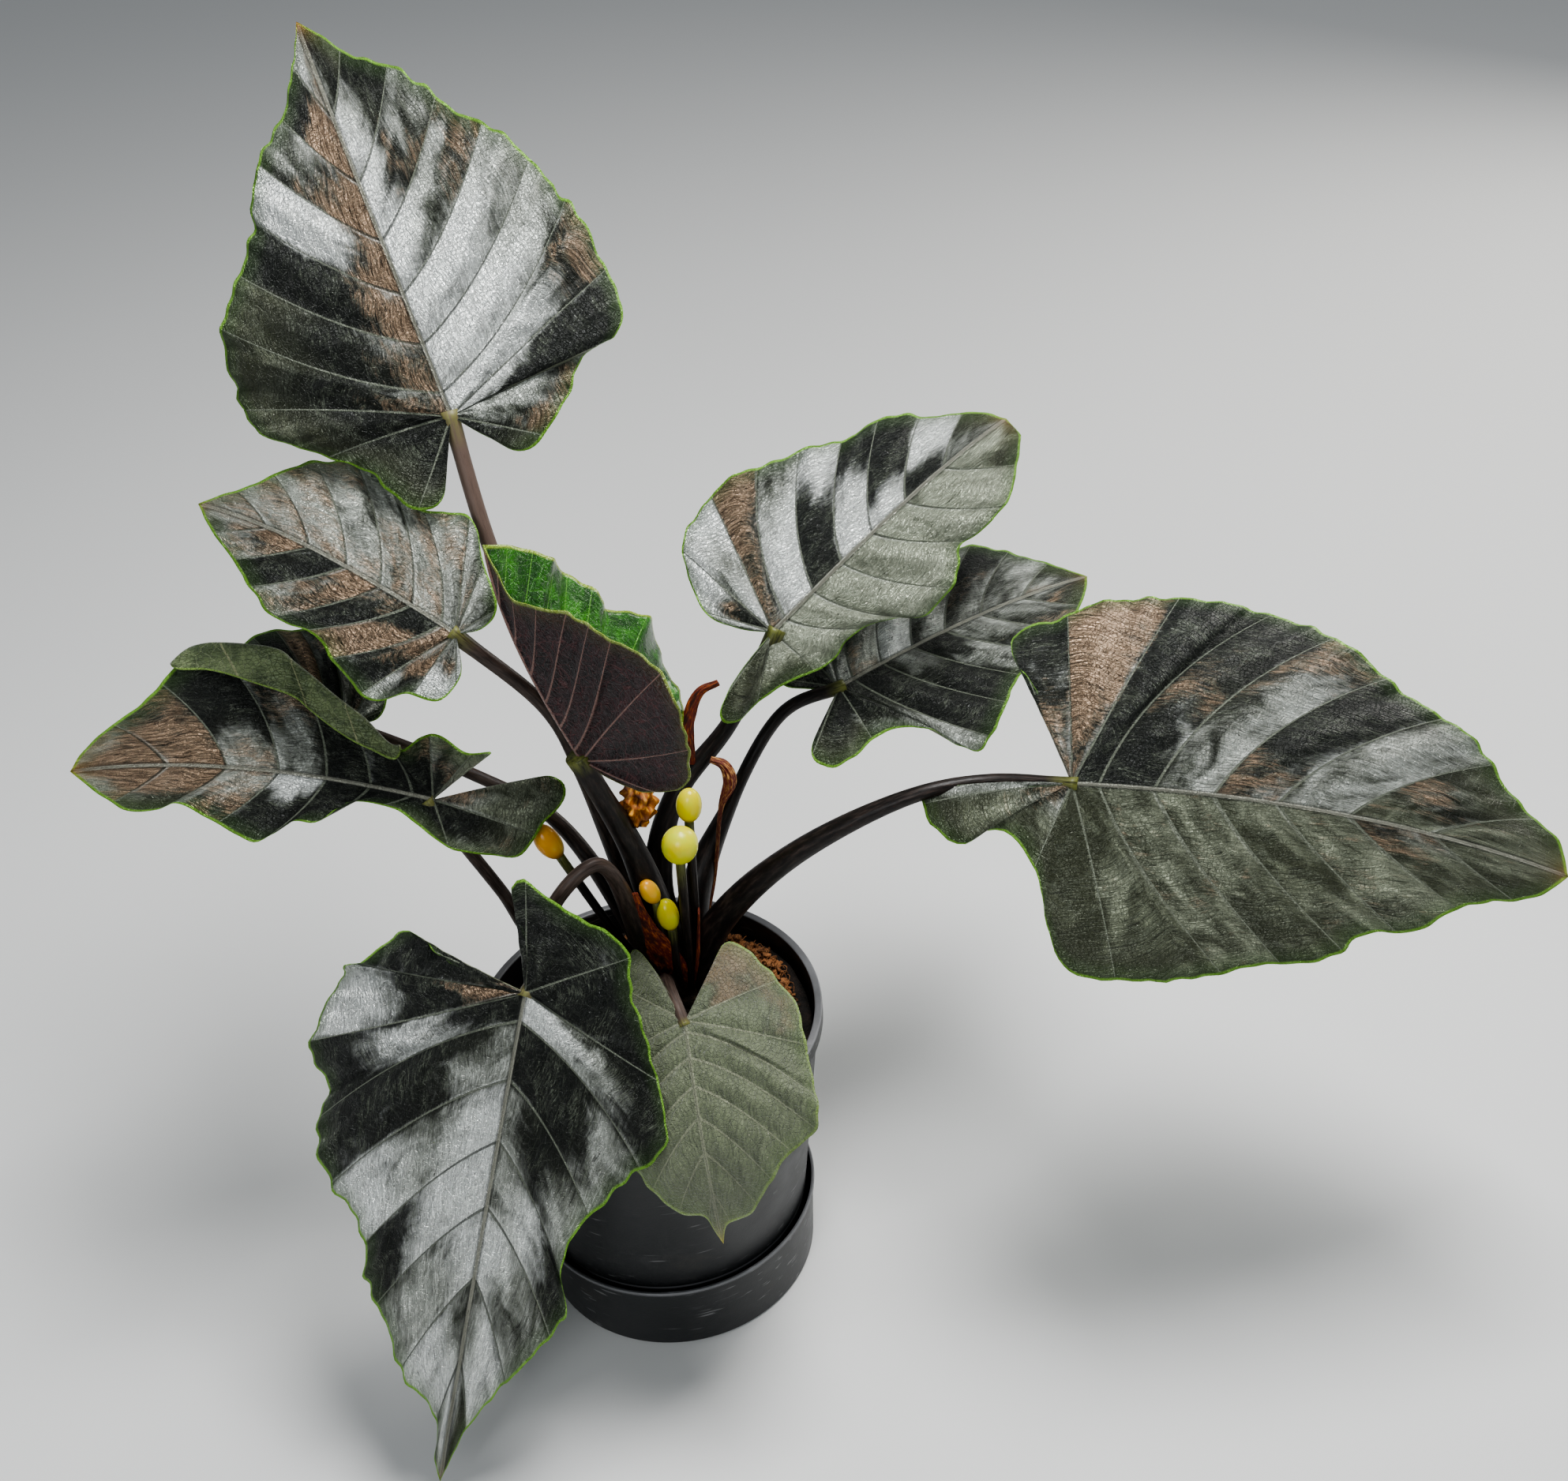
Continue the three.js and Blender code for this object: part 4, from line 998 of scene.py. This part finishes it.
def loft(points, size, grid, ripple=None):
    """Closed stem: size(t) is its half width and half depth. Returns verts, faces and run marks."""
    sides, steps = grid
    line = curve_through(points, steps + 1)
    tangent = unit(np.gradient(line, axis=0))
    axis = np.zeros(3)
    axis[np.argmin(np.abs(tangent[0]))] = 1
    normal = np.cross(tangent[0], unit(np.cross(tangent[0], axis)))
    verts, run = [], []
    total = walked(line)[-1]
    for i in range(steps + 1):
        normal = unit(normal - tangent[i] * np.dot(normal, tangent[i]))
        binormal = np.cross(tangent[i], normal)
        wide, deep = size(i / steps)
        for k in range(sides):
            a = 2 * math.pi * k / sides
            more = 1 + (ripple(i / steps, a) if ripple else 0)
            verts.append(line[i] + more * (wide * math.cos(a) * normal + deep * math.sin(a) * binormal))
            run.append([total * i / steps / 10, math.cos(a), math.sin(a)])
    return np.array(verts), tube_faces(0, steps + 1, sides), np.array(run)


def stem(name, replaced, route, size, grid, pale, joint, ripple=None):
    """A stem that gets paler upwards, with its joint over the last share of the length."""
    verts, faces, run = loft(route, size, grid, ripple)
    sides, steps = grid
    t = np.repeat(np.linspace(0, 1, steps + 1), sides)
    tone = np.stack([t, pale * t, 0.7 * np.clip(1 - (1 - t) / joint, 0, 1)], 1)
    piece(name, verts, faces, [STEM], "petiole_dark", replaced, {"run": run, "tone": tone})


def smooth(value, low, high):
    x = min(max((value - low) / (high - low), 0), 1)
    return x * x * (3 - 2 * x)


# Route, radius in the sheath and at the tip, shares of the length where the sheath runs out, and
# share of the paler skin colour
PETIOLES = [
    ([(13, 23, 166), (-3, 40, 228), (-28, 56, 315), (-48, 76, 385)], (6.5, 3.6), (0.1, 0.7), 0.75),
    ([(10, 19, 164), (-4, 29, 224), (-17, 33, 285), (-28, 34, 321)], (6, 3.4), (0, 0.8), 0.3),
    ([(8, 17, 160), (-21, 17, 182), (-50, 16, 203), (-62, 16, 234)], (4.2, 3), (0, 0.7), 0.3),
    ([(7, 23, 162), (-10, 36, 202), (-38, 55, 244), (-78, 66, 269)], (5.5, 3), (0, 0.7), 0.4),
    ([(17, 18, 170), (8, 13, 228), (2, 8, 263), (-6, 4, 292)], (8, 5), (0.2, 0.9), 0.05),
    ([(17, 25, 168), (11, 33, 217), (23, 42, 260), (52, 58, 289)], (7.5, 4), (0.1, 0.8), 0.05),
    ([(22, 22, 166), (28, 34, 208), (44, 52, 236), (78, 81, 277)], (8, 3.2), (0.2, 0.6), 0.05),
    ([(23, 16, 164), (38, 14, 204), (77, 8, 247), (134, 5, 278), (168, 7, 281)], (8.3, 3.2), (0, 0.85), 0.1),
    (
        [(11, 13, 164), (2, 6, 205), (-12, -12, 267), (-33, -21, 252), (-40, -32, 230)],
        (6.5, 3.4), (0.1, 0.6), 0.5,
    ),
    ([(17, 11, 162), (11, -2, 184), (14, -20, 196)], (4.5, 2.8), (0, 0.8), 0.4),
]
# Where a petiole meets its blade: along the midrib, and below its plane
MEET_ALONG, MEET_LIFT = 3.0, -0.9
for number, (route, (low, high), sheath, pale) in enumerate(PETIOLES, 1):
    meet = [np.array([v]) for v in (MEET_ALONG, 0.0, MEET_LIFT)]
    end = blade_point(LEAVES[number - 1], "left", *meet)[0]

    def size(t):
        radius = low + (high - low) * smooth(t, *sheath)
        return [radius * (1 + 0.12 * smooth(t, 0.92, 1))] * 2

    def folds(t, a):
        """A sheath is open on one side, with a shallow channel between its edges."""
        channel = -0.16 * math.exp(-((math.sin((a - 4.2) / 2) / 0.22) ** 2)) * (1 - smooth(t, *sheath))
        return channel + 0.03 * math.sin(3 * a + 5 * t) + 0.012 * math.sin(23 * t + 2 * a)

    route = [*route, tuple(end)]
    stem(f"stem_{number}", f"petiole_{number}", route, size, PETIOLE_GRID, pale, PETIOLE_JOINT, folds)

# Centre, lean, length, radius, foot of the stalk, material and slot
SPATHES = [
    ((26, -2, 266), (0.1, -0.2, 1), 19, 8.5, (22, 9), YELLOW, "spathe_yellow"),
    ((31, 18, 273), (0.1, 0, 1), 18, 6, (26, 15), YELLOW, "spathe_yellow"),
    ((-37, 24, 254), (-0.5, 0.1, 1), 20, 6, (7, 14), ORANGE, "spathe_orange"),
    ((16, 2, 222), (-0.1, 0, 1), 18, 5.2, (17, 8), YELLOW, "spathe_yellow"),
    ((9, 3, 236), (-0.4, 0, 1), 14, 4.4, (12, 9), ORANGE, "spathe_orange"),
]
STALK_FOOT, STALK_SAG, STALK_PALE = 164, 3, 0.1


def stalk_size(t):
    return [2.0 + 0.3 * t] * 2


for number, (at, lean, length, radius, foot, material, slot) in enumerate(SPATHES, 1):
    axis = Vector(lean).normalized() * (length / 2)
    centre = Vector(at)
    verts, faces, run = loft(
        [tuple(p) for p in (centre - axis, centre, centre + axis)],
        lambda t: [radius * max(1 - (2 * t - 1) ** 2, 0.004) ** 0.5] * 2,
        OVAL_GRID, lambda t, a: 0.02 * math.cos(a + 3 * t) - 0.03 * math.exp(-((a - 3.1) / 0.25) ** 2),
    )
    piece(f"oval_{number}", verts, faces, [material], slot, f"spathe_{number}", {"run": run})
    head = centre - axis * 0.93
    low = Vector((*foot, STALK_FOOT))
    middle = low.lerp(head, 0.5)
    middle.y -= STALK_SAG
    route = [tuple(p) for p in (low, middle, head)]
    names = f"spathe_stalk_{number}", f"stalk_{number}"
    stem(*names, route, stalk_size, STALK_GRID, STALK_PALE, STALK_JOINT)

# Route, half width and depth, share of the length at which it is widest, and spread of that swelling
DRY = {
    "sheath_1": ([(15, 8, 164), (14, 2, 190), (4, 0, 216), (0, -2, 240)], (7, 1), 0.45, 0.5),
    "sheath_2": ([(22, 12, 166), (27, 9, 190), (30, 10, 216)], (6, 1), 0.45, 0.5),
    "dry_spathe_1": (
        [(24, 26, 168), (37, 36, 210), (45, 37, 257), (50, 38, 270), (48, 39, 279), (42, 40, 282)],
        (4, 3), 0.88, 0.1,
    ),
    "dry_spathe_2": ([(33, 46, 276), (33, 48, 298), (40, 52, 312), (49, 53, 316)], (3, 1.6), 0.45, 0.5),
    "dry_spathe_3": ([(6, 12, 270), (9, 14, 282), (9, 17, 294)], (7, 7), 0.45, 0.5),
}
# Depth of the ridges along a scale, depth of the crumpling over it, and its skin
CREASES = {"dry_spathe_1": (0.1, 0.03, DRY_CREAM), "dry_spathe_3": (0.06, 0.2, DRY_ORANGE)}
for name, (route, (wide, deep), peak, spread) in DRY.items():
    ridge, crumple, skin = CREASES.get(name, (0.05, 0.03, DRY_RED))

    def swell(t):
        return 0.3 + 0.7 * math.exp(-(((t - peak) / spread) ** 2))

    def creases(t, a):
        fold = math.sin(7 * a + 11 * t) + math.sin(17 * t - 5 * a) + 0.6 * math.sin(31 * t + 3 * a)
        return ridge * math.sin(12 * a + 4 * t) + crumple * fold

    def scale_size(t):
        return wide * swell(t), max(deep * swell(t), 0.5)

    verts, faces, run = loft(route, scale_size, SCALE_GRID, creases)
    piece(f"{name}_scale", verts, faces, [skin], "dry_red", name, {"run": run})

verts, faces, _ = loft(
    [(16, 19, 130), (16, 19, 149), (17, 18, 166), (17, 17, 178)],
    lambda t: [12 + 6 * math.sin(math.pi * min(1.1 * t, 1)) - 2 * t] * 2,
    CROWN_GRID, lambda t, a: 0.035 * math.sin(46 * t + 1.5 * math.sin(2 * a)) + 0.02 * math.sin(5 * a),
)
piece("crown_skin", verts, faces, [CROWN_SKIN], "crown", "crown")


# Pot and saucer
def turned(profile, sides=144):
    """Closed body of revolution. The profile starts and ends on the axis, bottom first."""
    verts, faces, rings = [], [], []
    for r, z in profile:
        first = len(verts)
        rings.append([first] * sides if r == 0 else list(range(first, first + sides)))
        verts += [(0, 0, z)] if r == 0 else circle(r, z, sides)
    for low, high in zip(rings, rings[1:]):
        for k in range(sides):
            n = (k + 1) % sides
            ring = [low[k], low[n], high[n], high[k]]
            ring = [v for i, v in enumerate(ring) if v != ring[i - 1]]
            if len(ring) > 2:
                faces.append(ring)
    return verts, faces


def arc(centre, radius, start, end, steps=5):
    """Points of a rounded corner, with angles in degrees."""
    turn = [math.radians(start + (end - start) * i / steps) for i in range(steps + 1)]
    return [(centre[0] + radius * math.cos(a), centre[1] + radius * math.sin(a)) for a in turn]


def crease(obj, degrees=40):
    """Edges sharper than this stay sharp."""
    work = bmesh.new()
    work.from_mesh(obj.data)
    for edge in work.edges:
        if len(edge.link_faces) == 2:
            edge.smooth = edge.calc_face_angle() < math.radians(degrees)
    work.to_mesh(obj.data)
    work.free()


SAUCER_PROFILE = [
    (0, 0), *arc((69.5, 1.5), 1.5, -90, -5), (73.0, 39.6), (73.2, 40.6), *arc((73.3, 41.2), 0.7, -60, 0, 3),
    *arc((73.3, 42.3), 0.7, 0, 90, 4), *arc((72.9, 42.5), 0.5, 90, 180, 3), (69.6, 4.4), (69.1, 2.8),
    (68.2, 2.0), (0, 2.0),
]
FOOT = 2.3
POT_PROFILE = [
    (0, FOOT), (62.6, FOOT), *arc((63.2, FOOT + 1.8), 1.8, -80, -5), (82.4, 154.6), (82.7, 155.3),
    *arc((84.2, 156.1), 0.8, -80, 0, 4), *arc((84.2, 162.7), 0.8, 0, 90, 4), (82.4, 163.5),
    *arc((82.0, 162.7), 0.8, 90, 180, 4), (81.2, 155.5), (63.8, 5.2), (63.2, 4.4), (62.2, 4.3), (0, 4.3),
]
HOLES, HOLE_RING, HOLE_RADIUS, HOLE_SIDES = 6, 44, 4.5, 24
# Heights between which each drain hole is cut
HOLE_SPAN = (-1, 8)

saucer = piece("saucer_shell", *turned(SAUCER_PROFILE), [PLASTIC], "black_plastic", "saucer")
pot = piece("pot_shell", *turned(POT_PROFILE), [PLASTIC], "black_plastic", "pot")
drill_verts, drill_faces = [], []
# The first hole is half a step round from the x axis
for x, y, _ in circle(HOLE_RING, 0, 2 * HOLES)[1::2]:
    drill_faces += tube_faces(len(drill_verts), 2, HOLE_SIDES)
    for z in HOLE_SPAN:
        drill_verts += circle(HOLE_RADIUS, z, HOLE_SIDES, x, y)
cutter_mesh = bpy.data.meshes.new("drills")
cutter_mesh.from_pydata([tuple(c * MM for c in v) for v in drill_verts], [], drill_faces)
cutter = linked("drills", cutter_mesh)
cut = pot.modifiers.new("holes", "BOOLEAN")
cut.object, cut.operation, cut.solver = cutter, "DIFFERENCE", "EXACT"
bpy.context.view_layer.update()
evaluated = pot.evaluated_get(bpy.context.evaluated_depsgraph_get())
pot.data = bpy.data.meshes.new_from_object(evaluated)
pot.modifiers.clear()
bpy.data.objects.remove(cutter)
crease(pot)
crease(saucer)

# Potting mix: a lumpy top, with coir, bark and fine roots on it
random = np.random.default_rng(11)
CROWN_AT = (16, 19)
MIX_LEVEL, MOUND, LUMP_LIMIT = 150, 5, 3.5
# Lumps of the top: height, number of waves, their scale in mm and the seed
LUMPS = [(1.3, 8, 9, 1), (0.9, 10, 3.5, 2), (0.45, 10, 1.6, 3)]


def waves(x, y, count, scale, seed):
    """Smooth random height field, seldom past -1.5 and 1.5."""
    draw = np.random.default_rng(seed)
    total = np.zeros_like(x)
    for _ in range(count):
        angle, phase = draw.uniform(0, 2 * math.pi, 2)
        k = draw.uniform(0.6, 1.6) / scale
        total += np.sin(k * (x * math.cos(angle) + y * math.sin(angle)) + phase)
    return total / count**0.5


def mix_top(x, y):
    mound = MOUND * np.exp(-((x - CROWN_AT[0]) ** 2 + (y - CROWN_AT[1]) ** 2) / 900)
    rough = sum(height * waves(x, y, *rest) for height, *rest in LUMPS)
    return MIX_LEVEL + mound + np.clip(rough, -LUMP_LIMIT, LUMP_LIMIT)


def mix_height(x, y):
    return float(mix_top(np.array([x]), np.array([y]))[0])


SECTORS, RINGS = 180, 64
MIX_RADIUS, MIX_FOOT_RADIUS, MIX_FOOT = 79.3, 61.5, 4.6
radii = np.linspace(0, MIX_RADIUS, RINGS + 1)[1:]
angles = np.arange(SECTORS) * 2 * math.pi / SECTORS
grid_r, grid_a = np.meshgrid(radii, angles, indexing="ij")
gx, gy = grid_r * np.cos(grid_a), grid_r * np.sin(grid_a)
top = np.stack([gx, gy, mix_top(gx, gy)], -1).reshape(-1, 3)
low_ring = circle(MIX_FOOT_RADIUS, MIX_FOOT, SECTORS)
verts = np.concatenate([[(0, 0, mix_height(0.0, 0.0))], top, low_ring, [(0, 0, MIX_FOOT)]])
faces = [[0, 1 + k, 1 + (k + 1) % SECTORS] for k in range(SECTORS)]
for ring in range(RINGS):
    for k in range(SECTORS):
        a, b = 1 + ring * SECTORS + k, 1 + ring * SECTORS + (k + 1) % SECTORS
        faces.append([a, a + SECTORS, b + SECTORS, b])
last = 1 + RINGS * SECTORS
faces += [[last + k, last + SECTORS, last + (k + 1) % SECTORS] for k in range(SECTORS)]
piece("mix_surface", verts, faces, [MIX], "potting_mix", "potting_mix")

chip_verts, chip_faces, chip_tone, chip_run = [], [], [], []
ball = bmesh.new()
bmesh.ops.create_icosphere(ball, subdivisions=2, radius=1)
ball_verts = np.array([v.co[:] for v in ball.verts])
ball_faces = [[v.index for v in f.verts] for f in ball.faces]
ball.free()
CROWN_FREE = 17
SCATTERED, IN_BAND = 300, 260
# Farthest from the middle that a chip or a fibre is placed
LOOSE_RADIUS = 77
# The band of coir: where it starts and how far it turns in degrees, its radius there and how much
# that shrinks, its spread, and the height of its heap and how it falls off
BAND_START, BAND_TURN, BAND_RADIUS, BAND_SHRINK, BAND_SPREAD = 57, 54, 74, 8, 2.6
HEAP, HEAP_FALL = 5.5, 0.28


def band_spot():
    """A place on the band of coir along the right side of the pot, and its height in the heap."""
    share = random.uniform(0, 1)
    angle = math.radians(BAND_START - BAND_TURN * share)
    off = random.normal(0, BAND_SPREAD)
    r = min(BAND_RADIUS - BAND_SHRINK * share + off, LOOSE_RADIUS)
    heap = max(HEAP - HEAP_FALL * off * off, 0) * random.uniform(0, 1)
    return r * math.cos(angle), r * math.sin(angle), heap


def scattered_spot(radius, least):
    """A place anywhere on the mix."""
    r, a = radius * random.uniform(least, 1) ** 0.5, random.uniform(0, 2 * math.pi)
    return r * math.cos(a), r * math.sin(a)


for number in range(SCATTERED + IN_BAND):
    if number < SCATTERED:
        (x, y), heap = scattered_spot(76, 0.02), 0
        size = random.uniform(1.2, 3.6) if random.random() < 0.5 else random.uniform(0.8, 2)
        hue = 0.5 * random.uniform(0, 1)
    else:
        x, y, heap = band_spot()
        size = random.uniform(1, 3.2)
        hue = random.uniform(0.4, 1)
    if math.hypot(x - CROWN_AT[0], y - CROWN_AT[1]) < CROWN_FREE:
        continue
    scale = np.array([size, size * random.uniform(0.3, 0.8), size * random.uniform(0.25, 0.5)])
    jag = 1 + 0.25 * waves(ball_verts[:, 0], ball_verts[:, 1] + ball_verts[:, 2], 6, 0.35, number)
    heading, pitch = random.uniform(0, 2 * math.pi), random.uniform(-0.7, 0.7)
    turn = np.array(Matrix.Rotation(heading, 3, "Z") @ Matrix.Rotation(pitch, 3, "X"))
    shape = np.clip(ball_verts * jag[:, None], -0.82, 0.82) * scale
    base = len(chip_verts)
    chip_verts += list(shape @ turn.T + [x, y, mix_height(x, y) + 0.35 * scale[2] + heap])
    chip_faces += [[base + v for v in f] for f in ball_faces]
    chip_tone += [(hue, 0, 0)] * len(ball_verts)
    chip_run += list(shape * [0.4, 2.5, 2.5] + [x, y, 0])
marks = {"tone": np.array(chip_tone), "run": np.array(chip_run)}
piece("coir_chips", chip_verts, chip_faces, [BARK], "potting_mix", None, marks)


def strand(x, y, length, lift, wander, steps=9):
    """Line of a fibre that starts at a place on the mix and creeps over it."""
    heading, bend = random.uniform(0, 2 * math.pi), random.uniform(-wander, wander)
    arch, line = lift * random.uniform(0.3, 1), []
    for k in range(steps + 1):
        line.append((x, y, mix_height(x, y) + 0.4 + arch * math.sin(math.pi * k / steps)))
        x, y = x + length / steps * math.cos(heading), y + length / steps * math.sin(heading)
        if math.hypot(x, y) > LOOSE_RADIUS:
            break
        heading += bend + random.uniform(-0.35, 0.35)
    return line


STRANDS, BAND_STRANDS, LEFT_ROOTS, BACK_ROOTS = 120, 150, 9, 5
strands = []
for _ in range(STRANDS):
    strands.append(strand(*scattered_spot(74, 0.05), random.uniform(6, 20), 1.2, 0.4))
for _ in range(BAND_STRANDS):
    x, y, heap = band_spot()
    strands.append(strand(x, y, random.uniform(4, 11), 2 + 1.4 * heap, 0.5))
fine_roots = []
for _ in range(LEFT_ROOTS):
    fine_roots.append(strand(random.uniform(-70, -58), random.uniform(34, 44), 26, 7, 0.25))
for _ in range(BACK_ROOTS):
    fine_roots.append(strand(random.uniform(-36, -26), random.uniform(64, 70), 16, 5, 0.3))
FIBRES = [("root_strands", strands, 0.22, 0.85), ("pale_roots", fine_roots, 0.45, 1)]
for name, lines, radius, hue in FIBRES:
    verts, faces = tubes([line for line in lines if len(line) > 3], radius)
    tone = np.tile([hue, 0, 0], (len(verts), 1))
    piece(name, verts, faces, [BARK], "potting_mix", None, {"tone": tone, "run": np.array(verts)})

# Stage: floor, light and camera
FLOOR_HALF, FLOOR_LEVEL = 30.0, -0.0003
floor_mesh = bpy.data.meshes.new("floor")
corners = [(-1, -1), (1, -1), (1, 1), (-1, 1)]
corners = [(x * FLOOR_HALF, y * FLOOR_HALF, FLOOR_LEVEL) for x, y in corners]
floor_mesh.from_pydata(corners, [], [[0, 1, 2, 3]])
floor_mesh.materials.append(Shader("floor_pale").done(Base_Color=(0.7, 0.7, 0.69), Roughness=0.7))
linked("floor", floor_mesh)

world = bpy.data.worlds.new("studio")
world.use_nodes = True
sky, strength = world.node_tree.nodes["Background"].inputs[:2]
sky.default_value, strength.default_value = (0.75, 0.8, 0.85, 1), 0.28
bpy.context.scene.world = world
bpy.context.scene.view_settings.look = "AgX - Medium High Contrast"


def light(name, where, target, size, power, color=(1, 1, 1)):
    lamp = bpy.data.lights.new(name, "AREA")
    lamp.shape = "RECTANGLE"
    lamp.size, lamp.size_y = size
    lamp.energy = power
    lamp.color = color
    obj = linked(name, lamp)
    obj.location = where
    obj.rotation_euler = (Vector(target) - Vector(where)).to_track_quat("-Z", "Y").to_euler()


light("key_over", (0.35, 0.15, 1.7), (0.05, 0, 0.25), (0.7, 0.55), 30)
light("window_front", (-0.5, -1.7, 1.3), (0, 0, 0.2), (0.8, 0.6), 13, (0.95, 0.98, 1))
light("edge_back", (1.3, 1.3, 0.9), (0, 0, 0.3), (0.5, 0.9), 10, (1, 0.97, 0.92))

ELEVATION, ROLL = math.radians(35.7), math.radians(-4.8)
TARGET, DISTANCE, FOCUS = Vector((0.077, 0, 0.318)), 0.831, 2400.0
IMAGE_WIDTH, SENSOR = 1986.0, 36.0
back = Vector((0, -math.cos(ELEVATION), math.sin(ELEVATION)))
right = (-back).cross(Vector((0, 0, 1))).normalized()
up = right.cross(-back)
turned_right = right * math.cos(ROLL) + up * math.sin(ROLL)
turned_up = -right * math.sin(ROLL) + up * math.cos(ROLL)
camera_data = bpy.data.cameras.new("camera")
camera_data.sensor_width = SENSOR
camera_data.lens = SENSOR * FOCUS / IMAGE_WIDTH
camera_data.clip_start, camera_data.clip_end = 0.05, 50
camera = linked("camera", camera_data)
place = Matrix((turned_right, turned_up, back)).transposed().to_4x4()
place.translation = TARGET + back * DISTANCE
camera.matrix_world = place
bpy.context.scene.camera = camera
